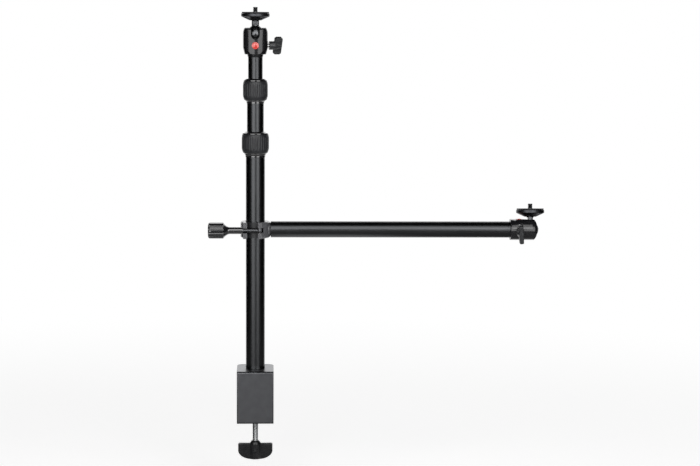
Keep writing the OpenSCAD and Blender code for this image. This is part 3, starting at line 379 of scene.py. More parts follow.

# %% [markdown]
# The clamp is cut from a bar, blasted with glass beads and anodised. The beads leave small dents
# all over, so light spreads widely and its faces look soft grey, much lighter than the tubes. Its
# edges were broken with a cutter: they are smooth and mirror the dark room. Their near black colour
# is painted shade that stands for that reflection and frames the front with dark lines. The edges
# are found by their normals, which lie along no axis of the block.


# %% Blasted and anodised block
TILTED, STRAIGHT = 0.9, 0.99   # largest part of a normal on a cut edge and on a face


def smooth_shaded_edges(tree):
    """1 on edges cut at an angle to the block's faces, where shade is painted, 0 on the faces."""
    normal = add(tree, "TexCoord").outputs["Normal"]
    steep = add(tree, "VectorMath", {0: normal}, operation="ABSOLUTE")
    parts = add(tree, "SeparateXYZ", {0: steep.outputs[0]})
    widest = add(tree, "Math", {0: parts.outputs[0], 1: parts.outputs[1]}, operation="MAXIMUM")
    widest = add(tree, "Math", {0: widest.outputs[0], 1: parts.outputs[2]}, operation="MAXIMUM")
    return add(tree, "MapRange", {"Value": widest.outputs[0],
                                  "From Min": TILTED, "From Max": STRAIGHT,
                                  "To Min": 1.0, "To Max": 0.0}).outputs[0]


def blasted_block(tree):
    """Bead-blasted faces: soft broad highlights, a fine sparkle close by. Smooth edges in painted
    shade.
    """
    beads = grain(tree, 0.35, detail=1.0)
    clouds = grain(tree, 9, detail=4.0)
    # edges is the mask of the cut edges: they get a smooth roughness and a painted shade.
    edges = smooth_shaded_edges(tree)
    faces = tone(tree, clouds, "6f7073", "747578")
    # The edges' near black 1e1f21 is painted shade, standing for the dark room that they mirror.
    colour = add(tree, "Mix", {0: edges, 6: faces, 7: linear("1e1f21")},
                 data_type="RGBA").outputs[2]
    rough = add(tree, "Mix", {0: edges, 2: spread(tree, clouds, 0.32, 0.35), 3: 0.16}).outputs[0]
    return {"Base Color": colour, "Metallic": 1.0, "Roughness": rough,
            "Normal": relief(tree, beads, 0.02)}


block_finish = surface("blasted_anodised_aluminium", blasted_block)
print("clamp finish", block_finish.name)

# %% [markdown]
# The collar is a casting under a thin black stove enamel. The enamel rounds the sand grain but does
# not fill it, so the flat ear faces look sandy and lighter than they are. The housings of the ball
# heads are die cast, far smoother, and lacquered until they shine. Their plates are only satin. One
# relief for all three would be simpler, but the size of the grain is what tells them apart.


# %% Castings under enamel and lacquer
def enamelled_casting(tree):
    """Cast skin under satin enamel: a sandy relief in two sizes."""
    sand = grain(tree, 0.7, detail=3.0)
    skin = grain(tree, 4, detail=2.0)
    return {"Base Color": tone(tree, sand, "47474a", "606063"),
            "Roughness": spread(tree, sand, 0.3, 0.42),
            "Normal": relief(tree, sand, 0.08, relief(tree, skin, 0.06)),
            "Coat Weight": 0.8, "Coat Roughness": 0.2}


def glossy_head(tree):
    """Die-cast head housing in glossy black lacquer, with a sprayed coat's slight orange peel."""
    peel = grain(tree, 1.6, detail=2.0)
    dust = grain(tree, 0.25, detail=1.0)
    return {"Base Color": tone(tree, dust, "141416", "1b1b1d"),
            "Roughness": spread(tree, peel, 0.14, 0.2),
            "Normal": relief(tree, peel, 0.006), "Coat Weight": 0.35, "Coat Roughness": 0.1}


def satin_plate(tree):
    """Die-cast plate in satin black: duller than the housing, with a fine grain."""
    pores = grain(tree, 0.4, detail=2.0)
    flow = grain(tree, 6, detail=3.0)
    return {"Base Color": tone(tree, flow, "46474a", "4f5053"), "Metallic": 1.0,
            "Roughness": spread(tree, flow, 0.34, 0.44), "Normal": relief(tree, pores, 0.012)}


collar_finish = surface("enamelled_casting", enamelled_casting)
head_finish = surface("glossy_black_lacquer", glossy_head)
plate_finish = surface("satin_black_diecast", satin_plate)
print("casting finishes", collar_finish.name, head_finish.name, plate_finish.name)

# %% [markdown]
# Turned steel keeps fine rings, but plating and blackening fill them, and what the eye sees is the
# coat: pale and a little cloudy on zinc, dark with rubbed places on black oxide. Bare aluminium
# keeps its tool marks, as noise that is squeezed along the axis. None of it could be modelled at
# this size, and none has to be: it only frays the highlight.


# %% Steels and bare alloy
def zinc_steel(tree):
    """Bright zinc plating: pale, slightly cloudy, with tiny crystals that break up the shine."""
    crystals = grain(tree, 0.3, detail=2.0)
    clouds = grain(tree, 5, detail=3.0)
    return {"Base Color": tone(tree, clouds, "c2c3c4", "d0d1d1"), "Metallic": 1.0,
            "Roughness": spread(tree, clouds, 0.2, 0.3), "Normal": relief(tree, crystals, 0.006)}


def blackened_steel(tree):
    """Black oxide on steel: dark grey, oily in the hollows, a little paler where it is rubbed."""
    rubbed = grain(tree, 2.5, detail=4.0)
    fine = grain(tree, 0.25, detail=1.0)
    return {"Base Color": tone(tree, rubbed, "555658", "656668"), "Metallic": 1.0,
            "Roughness": spread(tree, rubbed, 0.2, 0.3), "Normal": relief(tree, fine, 0.003)}


def machined_alloy(tree):
    """Bare machined aluminium: bright, with faint tool marks across it."""
    marks = grain(tree, 0.4, (1, 1, 0.3), 2.0)
    return {"Base Color": tone(tree, marks, "d2d3d4", "dedfe0"), "Metallic": 1.0,
            "Roughness": spread(tree, marks, 0.28, 0.4), "Normal": relief(tree, marks, 0.01)}


steel_finish = surface("zinc_plated_steel", zinc_steel)
black_steel_finish = surface("black_oxide_steel", blackened_steel)
alloy_finish = surface("machined_aluminium", machined_alloy)
print("steel and alloy finishes", steel_finish.name, black_steel_finish.name, alloy_finish.name)

# %% [markdown]
# ### Plastics and rubber
#
# Nylon filled with glass comes out of a polished mould almost like lacquer: the rims of the twist
# locks and the collar's knob are deep black with small hard highlights. The lock knobs come from an
# etched mould, which breaks the same light into a grey sheen, and the wing knob was tumbled, which
# dulls it a little. So the colours are nearly the same, and the difference the eye sees is made by
# roughness and relief.


# %% Nylons
def gloss_nylon(tree):
    """Polished black nylon: near black, with a faint flow pattern from the mould. Its indices lie
    above plain nylon's, matched to the hard small highlights on the rims and the knob."""
    flow = grain(tree, 5, detail=2.0)
    specks = grain(tree, 0.3, detail=1.0)
    return {"Base Color": tone(tree, specks, "141416", "1a1a1c"),
            "Roughness": spread(tree, flow, 0.14, 0.2),
            "Normal": relief(tree, flow, 0.01), "IOR": 1.6,
            "Coat Weight": 1.0, "Coat Roughness": 0.06, "Coat IOR": 1.9}


def satin_nylon(tree):
    """Etched black nylon: the mould's fine leather-like grain gives a soft grey sheen."""
    etched = grain(tree, 0.45, detail=3.0)
    flow = grain(tree, 7, detail=2.0)
    return {"Base Color": tone(tree, etched, "1c1d1f", "28292b"),
            "Roughness": spread(tree, flow, 0.36, 0.46),
            "Normal": relief(tree, etched, 0.03), "Coat Weight": 0.4, "Coat Roughness": 0.3}


def tumbled_nylon(tree):
    """The wing knob's nylon, tumbled after moulding: dark, with a low sheen and soft rub marks."""
    rubs = grain(tree, 3, detail=3.0)
    grit = grain(tree, 0.35, detail=2.0)
    return {"Base Color": tone(tree, rubs, "131315", "19191b"),
            "Roughness": spread(tree, rubs, 0.24, 0.32),
            "Normal": relief(tree, grit, 0.012), "IOR": 1.46}


def dull_nylon(tree):
    """The collar's sleeve: dark, dry nylon that rubs on the pole, with fine wear lines along it."""
    rub = grain(tree, 0.5, (1, 1, 30), 3.0)
    return {"Base Color": tone(tree, rub, "1f2022", "29292b"),
            "Roughness": spread(tree, rub, 0.42, 0.55),
            "Normal": relief(tree, rub, 0.01)}


def white_acetal(tree):
    """White acetal: waxy, slightly see-through, with turned rings too fine to count."""
    rings = grain(tree, 0.5, (1, 1, 0.2), 2.0)
    return {"Base Color": tone(tree, rings, "e2e2dc", "ecece6"),
            "Roughness": spread(tree, rings, 0.3, 0.4), "Normal": relief(tree, rings, 0.01),
            "Subsurface Weight": 0.15, "Subsurface Radius": [2 * MM] * 3}


gloss_finish = surface("polished_black_nylon", gloss_nylon)
satin_finish = surface("etched_black_nylon", satin_nylon)
wing_finish = surface("tumbled_black_nylon", tumbled_nylon)
liner_finish = surface("dry_black_nylon", dull_nylon)
acetal_finish = surface("white_acetal", white_acetal)
print("nylon finishes", gloss_finish.name, satin_finish.name, wing_finish.name, liner_finish.name)

# %% [markdown]
# Rubber takes in light where nylon throws it back. The pads are plain nitrile rubber under a dusty
# bloom, which a little sheen gives them. The grips are a softer rubber, polished by hands, so a
# broad grey light lies on their ribs. The heads' red caps are poured resin under a clear gloss.


# %% Rubbers and the red caps
def dull_rubber(tree):
    """Moulded nitrile rubber: no clear highlight, a dusty bloom on top of a black base."""
    bloom = grain(tree, 3, detail=4.0)
    pores = grain(tree, 0.4, detail=2.0)
    return {"Base Color": tone(tree, bloom, "1f1f21", "29292b"),
            "Roughness": spread(tree, bloom, 0.62, 0.78),
            "Normal": relief(tree, pores, 0.03), "Sheen Weight": 0.1, "Sheen Roughness": 0.5}


def grip_rubber(tree):
    """The grips' softer rubber: slightly shiny from hands, with a moulded micro-grain."""
    hands = grain(tree, 6, detail=3.0)
    micro = grain(tree, 0.3, detail=2.0)
    return {"Base Color": tone(tree, hands, "1e1f21", "28292c"),
            "Roughness": spread(tree, hands, 0.36, 0.48),
            "Normal": relief(tree, micro, 0.015), "Sheen Weight": 0.08, "Sheen Roughness": 0.4}


def red_dome(tree):
    """A red resin cap: clear gloss over an even red, a touch deeper in its clouds."""
    clouds = grain(tree, 3, detail=2.0)
    return {"Base Color": tone(tree, clouds, "cc3a30", "d6443a"),
            "Roughness": spread(tree, clouds, 0.14, 0.2),
            "Normal": relief(tree, clouds, 0.01), "Coat Weight": 1.0, "Coat Roughness": 0.05}


rubber_finish = surface("black_nitrile_rubber", dull_rubber)
grip_finish = surface("soft_grip_rubber", grip_rubber)
badge_finish = surface("red_resin_cap", red_dome)
print("finishes", len([m for m in bpy.data.materials if m.use_nodes]))

# %% [markdown]
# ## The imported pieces
#
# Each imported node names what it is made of, and one table turns those names into finishes. Painting
# the nodes one by one would give the same, but a node added later would then be forgotten. Only the
# arm's tube and its two plugs need a word of their own, as their die lines run along the arm.

# %% Finishes for the CAD nodes
FINISHES = {
    "anodised_tube": pole_tube, "anodised_block": block_finish, "cast_alloy": collar_finish,
    "head_alloy": head_finish, "plate_alloy": plate_finish, "plain_alloy": alloy_finish,
    "steel": steel_finish, "black_steel": black_steel_finish, "gloss_nylon": gloss_finish,
    "knob_nylon": gloss_finish, "moulded_nylon": satin_finish, "liner_nylon": liner_finish,
    "acetal": acetal_finish, "rubber": rubber_finish, "grip_rubber": grip_finish,
    "red_badge": badge_finish,
}
ARM_TUBE_NODES = ("arm_tube", "arm_inner_plug", "arm_outer_plug")
for name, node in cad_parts.items():
    given = node.data.materials[0].name
    node.data.materials[0] = arm_tube if name in ARM_TUBE_NODES else FINISHES[given]
print("finished nodes", len(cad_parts))

# %% [markdown]
# A CAD file has perfectly sharp edges, and no real edge is: each one catches a thin line of light.
# The fixed pieces keep their vertices and get that line from modifiers. Welding joins the file's
# separate facets, a planar decimate clears the flat faces, and a small bevel rounds only the sharp
# edges. A bevel never eats more than a neighbouring edge allows, so the clamp's are narrower than
# asked for.


# %% Soft edges for the CAD nodes
SOFT_EDGES = {   # the widest round-over of each node's edges, in mm
    "clamp_frame": 1.0, "fixed_jaw": 0.3, "hinged_jaw": 0.3, "top_housing": 0.3, "arm_housing": 0.3,
    "top_plate": 0.2, "arm_plate": 0.2, "top_ball_stud": 0.2, "arm_ball_stud": 0.2,
    "pole_foot": 0.25, "top_end_plug": 0.2, "outer_tube": 0.2, "mid_tube": 0.2, "top_tube": 0.2,
    "arm_tube": 0.2,
}
SHARP = math.radians(35)
FLAT = math.radians(0.3)
WELD_GAP = 1e-6


def soften(node, width):
    """Rounds the sharp edges of one CAD node by width mm, with modifiers only."""
    node.modifiers.new("weld", "WELD").merge_threshold = WELD_GAP
    flat = node.modifiers.new("flat", "DECIMATE")
    flat.decimate_type = "DISSOLVE"
    flat.angle_limit = FLAT
    soft = node.modifiers.new("soft", "BEVEL")
    soft.width = width * MM
    soft.segments = 2
    soft.limit_method = "ANGLE"
    soft.angle_limit = SHARP
    soft.use_clamp_overlap = True
    soft.harden_normals = True
    node.modifiers.new("normals", "WEIGHTED_NORMAL").keep_sharp = True


for name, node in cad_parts.items():
    if name in SOFT_EDGES:
        soften(node, SOFT_EDGES[name])
print("soft edges on", len(SOFT_EDGES), "of", len(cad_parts))

# %% [markdown]
# ## Pieces built again
#
# Threads, ribs and rounded knobs are what a hand feels first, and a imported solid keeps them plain
# so that its physics stays quick. Such pieces are built again here as meshes. Most are turned
# shapes: a profile of radius and height is carried round the axis, and a small rule may push the
# surface in or out by the angle, which is all it takes to make a thread, a flute or a ribbed grip.
# The same could be had from curve bevels or stacked modifiers, but then the sizes would sit in many
# places.
#
# From here on all sizes are millimetres, as on a workshop drawing, and all angles are degrees.
# Corners get their arcs in the profile itself, so no bevel is needed after the turning.


# %% Placing and rounding helpers
ARC_STEPS = 4
LONGEST_ARC = 0.49   # of the shorter side at a corner, so that two arcs never meet
CLEARANCE = 0.04     # between pieces that fit into each other


def shift(x, y, z):
    """A move along the three axes."""
    return Matrix.Translation((x, y, z))


def turn(axis, degrees):
    """A turn about one axis."""
    return Matrix.Rotation(math.radians(degrees), 4, axis)


def rounded(outline):
    """A closed outline of (x, y, radius) corners, with an arc at each corner that has a radius."""
    points = []
    for i, (x, y, radius) in enumerate(outline):
        if radius == 0:
            points.append((x, y))
            continue
        corner = Vector((x, y))
        before = Vector(outline[i - 1][:2]) - corner
        after = Vector(outline[(i + 1) % len(outline)][:2]) - corner
        half = before.angle(after) / 2
        reach = min(radius / math.tan(half),
                    LONGEST_ARC * before.length, LONGEST_ARC * after.length)
        inward = (before.normalized() + after.normalized()).normalized()
        middle = corner + inward * reach / math.cos(half)
        first = corner + before.normalized() * reach - middle
        last = corner + after.normalized() * reach - middle
        sweep = -first.angle_signed(last)
        for k in range(ARC_STEPS + 1):
            spoke = Matrix.Rotation(sweep * k / ARC_STEPS, 2) @ first
            points.append((middle.x + spoke.x, middle.y + spoke.y))
    return points


print("a round corner has", ARC_STEPS + 1, "points")

# %% [markdown]
# A turned shape is one ring of points for each point of the profile, joined to the next ring by
# faces. Where the profile touches the axis the ring shrinks to one point and its faces to
# triangles. A screw modifier does the same, but it can't take a rule that changes the radius with
# the angle.


# %% Turned shapes
ON_AXIS = 1e-6


def lathe(profile, sides, bend=None):
    """Turns a closed profile of (radius, z) round Z. bend(radius, z, angle) may move the radius."""
    verts, rings = [], []
    for r, z in profile:
        on_axis = abs(r) < ON_AXIS
        start = len(verts)
        for k in range(1 if on_axis else sides):
            a = math.tau * k / sides
            reach = r if bend is None or on_axis else bend(r, z, a)
            verts.append((reach * math.cos(a), reach * math.sin(a), z))
        rings.append([start if on_axis else start + k for k in range(sides)])
    faces = []
    for low, high in zip(rings, rings[1:] + rings[:1]):
        for k in range(sides):
            around = (low[k], low[(k + 1) % sides], high[(k + 1) % sides], high[k])
            face = list(dict.fromkeys(around))
            if len(face) > 2:
                faces.append(face)
    return verts, faces


cone_points, cone_faces = lathe([(0, 0), (1, 0), (0, 1)], 8)
print("an eight-sided cone has", len(cone_points), "points and", len(cone_faces), "faces")

# %% [markdown]
# Every new mesh goes the same way into the scene: doubled points are joined, its faces are turned
# to look outward, it is scaled to metres and put in place, and it gets its finish. Then it rides
# the body that carries it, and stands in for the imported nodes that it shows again.


# %% Making a piece
DOUBLED = 1e-4


def piece(name, shape, finish, body, replaced, place, sharp=40):
    """Makes one object of a (vertices, faces) shape in mm, and lets it ride a body."""
    mesh = bpy.data.meshes.new(name)
    mesh.from_pydata(shape[0], [], shape[1])
    work = bmesh.new()
    work.from_mesh(mesh)
    bmesh.ops.remove_doubles(work, verts=work.verts, dist=DOUBLED)
    bmesh.ops.dissolve_degenerate(work, edges=work.edges, dist=DOUBLED)
    bmesh.ops.recalc_face_normals(work, faces=work.faces)
    work.transform(Matrix.Scale(MM, 4) @ place)
    work.to_mesh(mesh)
    work.free()
    mesh.polygons.foreach_set("use_smooth", [True] * len(mesh.polygons))
    mesh.set_sharp_from_angle(angle=math.radians(sharp))
    mesh.materials.append(finish)
    made = bpy.data.objects.new(name, mesh)
    bpy.context.scene.collection.objects.link(made)
    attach(made, body)
    if replaced:
        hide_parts(*replaced)
    print(name, len(mesh.vertices), "vertices")
    return made


print("points closer than", DOUBLED, "mm are joined")

# %% [markdown]
# ### Threads
#
# A screw thread is a ridge that climbs one pitch per turn. Rows of points far closer than the
# pitch, each a little further round, give the ridge without any twisting modifier. The ridge fades
# at both ends, as it does where a die starts and where a tip is chamfered.


# %% Thread rule
ROWS_PER_PITCH = 6
FLANK, CREST = 1.25, 0.1   # how steep the flanks are, and how much of them the flat crest takes


def thread(pitch, depth, low, high):
    """A bend rule: full radius on the crest, depth less in the root, between two heights."""
    def bend(radius, z, angle):
        if not low < z < high:
            return radius
        phase = (z / pitch - angle / math.tau) % 1
        root = min(1.0, max(0.0, FLANK * abs(2 * phase - 1) - CREST))
        fade = min(1.0, (z - low) / pitch, (high - z) / pitch)
        return radius - depth * root * fade
    return bend


def threaded_rows(radius, low, high, pitch):
    """Points down a threaded stretch, from high to low."""
    count = max(2, round((high - low) / pitch * ROWS_PER_PITCH))
    return [(radius, high - (high - low) * k / count) for k in range(count + 1)]


print("rows of points in a pitch", ROWS_PER_PITCH)

# %% [markdown]
# The clamp's screw is a zinc plated M8 rod. Its tip is turned down and grooved, so that a clip can
# hold the swivelling pad on it. Only a short stretch shows between the clamp and the wing knob, but
# the whole thread is cut, because the screw runs through the clamp as it turns.

# %% Clamp screw, M8
SCREW_AXIS = shift(0, 3, 0)
M8_R, M8_PITCH, M8_DEPTH = 4.0, 1.25, 0.68
SCREW_END, THREAD_FOOT, THREAD_HEAD = -111.4, -110.7, -32.3
FADED_BELOW, FADED_ABOVE = -111.0, -32.2
screw_tip = rounded([   # radius, height and corner radius
    (0, -27.95, 0), (3, -27.95, 0.35),    # nose that presses the pad
    (3, -28.41, 0), (2.4, -28.41, 0),     # groove for the clip
    (2.4, -29.29, 0), (3, -29.29, 0),
    (3, -31.75, 0), (3.4, -31.75, 0)])    # shoulder above the thread
clamp_profile = (screw_tip + threaded_rows(M8_R, THREAD_FOOT, THREAD_HEAD, M8_PITCH)
                 + [(3.3, SCREW_END), (0, SCREW_END)])
clamp_thread = thread(M8_PITCH, M8_DEPTH, FADED_BELOW, FADED_ABOVE)
piece("clamp_screw_threaded", lathe(clamp_profile, 36, clamp_thread), steel_finish,
      "screw_and_knob", ["clamp_screw"], SCREW_AXIS)

# %% [markdown]
# Each ball head ends in a camera screw of a quarter inch, with twenty threads to the inch. It is
# black oxide steel, and at this distance its thread only shows as a ragged edge against the white:
# that edge is worth real geometry. The two heads are equal, so one profile is placed twice.

# %% Camera screws
POLE_TOP, ARM_END, ARM_Z = 422.55, 337.65, 192.5
BALL_UP = 27.1
TOP_HEAD = shift(0, 0, POLE_TOP)
# The arm's head points along the arm and is rolled about it
ARM_HEAD = shift(ARM_END, 0, ARM_Z) @ turn("X", 174) @ turn("Z", 90) @ turn("X", 90)
TOP_BALL = TOP_HEAD @ shift(0, 0, BALL_UP)
ARM_BALL = ARM_HEAD @ shift(0, 0, BALL_UP) @ turn("X", 90)
QUARTER_R, QUARTER_PITCH, QUARTER_DEPTH = 3.175, 1.27, 0.72
TIP_R, TIP_Z, FADED_OUT = 2.7, 34.3, 34.1
ROWS_LOW, ROWS_HIGH = 27.92, 33.85
STEM_R, STEM_TOP, STEM_FOOT = 2.575, 27.9, 21.04   # the plain stem, hidden in the plate

camera_thread = thread(QUARTER_PITCH, QUARTER_DEPTH, STEM_TOP, FADED_OUT)
camera_profile = ([(0, TIP_Z), (TIP_R, TIP_Z)]
                  + threaded_rows(QUARTER_R, ROWS_LOW, ROWS_HIGH, QUARTER_PITCH)
                  + [(QUARTER_R, STEM_TOP), (STEM_R, STEM_TOP),
                     (STEM_R, STEM_FOOT), (0, STEM_FOOT)])
for side, ball in (("top", TOP_BALL), ("arm", ARM_BALL)):
    piece(side + "_camera_screw_threaded", lathe(camera_profile, 36, camera_thread),
          black_steel_finish, side + "_table", [side + "_camera_screw"], ball)

# %% [markdown]
# ### The twist locks
#
# Each lock is a glossy nut with a ribbed rubber grip shrunk on it, over a sleeve on the tube's end.
# The thirty grooves of the grip are cut as a round tool would cut them: the radius is limited by
# one curve of the angle, so they run out by themselves where the grip draws in at its foot and
# head. A pattern of bumps in the material would be quicker, but its grooves would not show on the
# outline.


# %% Ribbed grips
# base: height of the nut's lower end. ring_r, core_r: the grip's outside and inside. cone_r: narrow
# end of the collet's cone. thread_r, bore_r: the nut's thread and the hole in its nose. nose: how
# far the nose slopes in. tube_r, tube_body: radius and body of the tube that the sleeve ends. show:
# how far the sleeve stands out below the nut.
LOCKS = {
    "lower": dict(base=292.9, ring_r=17.8, core_r=15.64, cone_r=12.25, thread_r=14.08, bore_r=11.4,
                  nose=3.9, tube_r=12.5, show=4.9, tube_body="stand"),
    "upper": dict(base=362.1, ring_r=16.2, core_r=14.04, cone_r=10.75, thread_r=12.58, bore_r=9.9,
                  nose=2.7, tube_r=11.0, show=3.5, tube_body="mid_section"),
}
GROOVES, GROOVE_DEPTH = 30, 0.45
GROOVE_HALF, GROOVE_ROUND = 0.24, 0.7   # half width as a share of the spacing, and its roundness
SIDES_PER_GROOVE = 12
INSIDE = 0.1   # radii this close to the core belong to the grip's inside
GRIP_FOOT, GRIP_HEAD, GRIP_LIP = 1.0, 25.36, 0.3
FOOT_IN, FOOT_CURVE_Z, FOOT_CURVE_LEN = 1.6, 1.25, 7
HEAD_IN, HEAD_CURVE_Z, HEAD_CURVE_LEN = 0.8, 18.6, 6.45
CURVE_STEPS = 10


def grip_profile(ring_r, core_r):
    """The grip's closed profile: drawn in at its foot and head, with softly rounded lips."""
    steps = [t / CURVE_STEPS for t in range(CURVE_STEPS + 1)]
    foot = [(ring_r - FOOT_IN * (1 - t) ** 2, FOOT_CURVE_Z + FOOT_CURVE_LEN * t) for t in steps]
    head = [(ring_r - HEAD_IN * t ** 2, HEAD_CURVE_Z + HEAD_CURVE_LEN * t) for t in steps]
    return ([(core_r, GRIP_FOOT), (ring_r - FOOT_IN - GRIP_LIP, GRIP_FOOT)] + foot + head
            + [(ring_r - HEAD_IN - GRIP_LIP, GRIP_HEAD), (core_r, GRIP_HEAD)])


def grooved(ring_r, core_r):
    """A bend rule that keeps the outside within the grooved outline."""
    def bend(radius, z, angle):
        off = abs((angle * GROOVES / math.tau) % 1 - 0.5)
        cut = GROOVE_DEPTH * max(0.0, 1 - (off / GROOVE_HALF) ** 2) ** GROOVE_ROUND
        return radius if radius < core_r + INSIDE else min(radius, ring_r - cut)
    return bend


for side, lock in LOCKS.items():
    sizes = lock["ring_r"], lock["core_r"]
    ribbed = lathe(grip_profile(*sizes), GROOVES * SIDES_PER_GROOVE, grooved(*sizes))
    piece(side + "_grip_ribbed", ribbed, grip_finish, side + "_lock",
          [side + "_lock_grip"], shift(0, 0, lock["base"]), sharp=60)

# %% [markdown]
# The nut's rim and the sleeve's foot each have a low upright band that mirrors the two softboxes:
# that is what draws the pairs of bright dashes above and below each grip. The nut is turned from a
# profile in which only the outer corners are rounded, each with the radius that the mould would
# leave there.


# %% Twist-lock nuts
NUT_SIDES = 96
RIM_IN, RIM_FOOT, RIM_TOP, NOSE_TOP = 0.8, 25.4, 26.7, 28.7


def nut_profile(lock):
    """A nut with a soft-edged rim, a sloping nose and the cone that squeezes the collet."""
    wall, thread_r, bore_r = lock["core_r"] - CLEARANCE, lock["thread_r"], lock["bore_r"]
    rim, nose = lock["ring_r"] - RIM_IN, lock["ring_r"] - lock["nose"]
    return rounded([
        (thread_r, 0, 0), (wall - 0.6, 0, 0), (wall, 0.6, 0),                      # chamfered foot
        (wall, RIM_FOOT, 0), (rim, RIM_FOOT, 0.35), (rim, RIM_TOP, 0.5),           # upright band
        (nose + 0.5, 28.2, 0.9), (nose, NOSE_TOP, 0.3), (bore_r, NOSE_TOP, 0.3),   # sloping nose
        (bore_r, 24.94, 0), (lock["cone_r"], 24.84, 0), (thread_r, 18.34, 0)])     # collet's cone


for side, lock in LOCKS.items():
    piece(side + "_nut_turned", lathe(nut_profile(lock), NUT_SIDES), gloss_finish, side + "_lock",
          [side + "_lock_nut"], shift(0, 0, lock["base"]), sharp=50)

# %% [markdown]
# The sleeve ends the wider tube and carries the nut's thread. Its foot stands upright and then
# flares out to the nut. The thread itself is hidden inside the nut, so the barrel is left plain
# there.


# %% Sleeves under the nuts
FOOT_OUT, FOOT_HIGH = 0.75, 2.0
FLARE_OUT, BARREL_OUT = 2.1, 1.5
FLARE_TOP, SLEEVE_TOP = -0.25, 17.0


def sleeve_profile(tube_r, show):
    """A sleeve on a tube's end: upright foot, short flare, and a plain barrel inside the nut."""
    bore, foot, barrel = tube_r + CLEARANCE, tube_r + FOOT_OUT, tube_r + BARREL_OUT
    return rounded([
        (bore, -show, 0), (foot, -show, 0.15), (foot, FOOT_HIGH - show, 0.4),
        (tube_r + FLARE_OUT, FLARE_TOP, 0.15), (barrel, FLARE_TOP, 0),
        (barrel, SLEEVE_TOP, 0), (bore, SLEEVE_TOP, 0)])


for side, lock in LOCKS.items():
    piece(side + "_sleeve_turned", lathe(sleeve_profile(lock["tube_r"], lock["show"]), NUT_SIDES),
          gloss_finish, lock["tube_body"], [side + "_lock_sleeve"],
          shift(0, 0, lock["base"]), sharp=50)

# %% [markdown]
# ### The collar's knob and its swing bolt
#
# The knob is a long nut: a slim neck that reaches over the ear, a flare, and a grip with fourteen
# round flutes. It is moulded in gloss nylon, so its shape is read from thin bright lines on the
# ridges between the flutes, and those lines only come out right if the flutes are real hollows.


# %% Collar knob
KNOB_PLACE = shift(-16.6, -16.5, ARM_Z) @ turn("Y", -90)
FLUTES, SIDES_PER_FLUTE = 14, 16
FLUTE_R, FLUTE_DEPTH, KNOB_R = 1.7, 0.9, 10.5
NECK_R, NECK_LEN = 4.65, 17.0
FLARE_LEN, FLARE_STEPS, FLARE_CURVE = 8.4, 12, 1.7
KNOB_LEN, KNOB_EDGE = 20.0, 2.8
BOLT_BORE_R, BOLT_BORE_LEN = 3.08, 35.9


def fluted(radius, z, angle):
    """Keeps the knob within the circles that cut its flutes."""
    if z < NECK_LEN or radius < NECK_R:
        return radius
    off = ((angle * FLUTES / math.tau + 0.5) % 1 - 0.5) * math.tau / FLUTES
    middle = KNOB_R - FLUTE_DEPTH + FLUTE_R
    inside = FLUTE_R ** 2 - (middle * math.sin(off)) ** 2
    wall = middle * math.cos(off) - math.sqrt(inside) if inside > 0 else KNOB_R
    return min(radius, wall)


# Rows of points along the straight stretches keep the faces short and even
flare_z, crown_z = NECK_LEN + FLARE_LEN, NECK_LEN + FLARE_LEN + KNOB_LEN
neck = ([(NECK_R - 0.5, 0.0), (NECK_R - 0.12, 0.12), (NECK_R, 0.5)]   # its rounded mouth
        + [(NECK_R, 2.0 * k) for k in range(1, 9)] + [(NECK_R, NECK_LEN)])
flare = [(NECK_R + (KNOB_R - NECK_R) * (t / FLARE_STEPS) ** FLARE_CURVE,
          NECK_LEN + FLARE_LEN * t / FLARE_STEPS) for t in range(1, FLARE_STEPS + 1)]
grip = [(KNOB_R, flare_z + 1.5 * k) for k in range(1, 11)]
crown = [(KNOB_R - KNOB_EDGE * (1 - math.cos(math.radians(a))),
          crown_z - KNOB_EDGE * (1 - math.sin(math.radians(a)))) for a in range(0, 91, 10)]
knob_profile = ([(BOLT_BORE_R, BOLT_BORE_LEN), (BOLT_BORE_R, 0.0)] + neck + flare + grip + crown
                + [(2.0, crown_z), (0, crown_z), (0, BOLT_BORE_LEN)])
piece("collar_knob_fluted", lathe(knob_profile, FLUTES * SIDES_PER_FLUTE, fluted), gloss_finish,
      "collar_grip", ["collar_knob"], KNOB_PLACE @ turn("Z", 180), sharp=30)

# %% [markdown]
# Some pieces are two turned shapes that cross, or have a hole drilled through them. They could be
# left as meshes that merely overlap, but then no clean edge would show where they meet, so a
# Boolean makes one closed mesh of them. It is evaluated at once and the tool is thrown away.


# %% Solid joins and cuts
def combine(base, tool, how):
    """Joins a tool to a piece, or cuts it out, and keeps the result as the piece's plain mesh."""
    step = base.modifiers.new("step", "BOOLEAN")
    step.object, step.operation, step.solver = tool, how, "EXACT"
    bpy.context.view_layer.update()
    depsgraph = bpy.context.evaluated_depsgraph_get()
    result = bpy.data.meshes.new_from_object(base.evaluated_get(depsgraph))
    base.modifiers.clear()
    base.data = result
    bpy.data.objects.remove(tool)


print("joins and cuts use the exact solver")

# %% [markdown]
# The swing bolt is an M6 shank on a round eye, black oxide steel like the camera screws. It swings
# on a pin in the right ear, and its shank runs through the left one into the knob. The plain
# stretch next to the eye shows between the ears, and the thread begins where the knob's neck hides
# it.

# %% Swing bolt, M6
EYE_PLACE = shift(6.2, -16.5, ARM_Z)
EYE_R, EYE_BORE_R, EYE_HALF = 4.2, 1.58, 2.75
M6_R, M6_PITCH, M6_DEPTH = 2.96, 1.0, 0.55
SHANK_FOOT, THREAD_LOW, THREAD_HIGH, SHANK_TIP = -20.5, 2.0, 35.0, 35.4

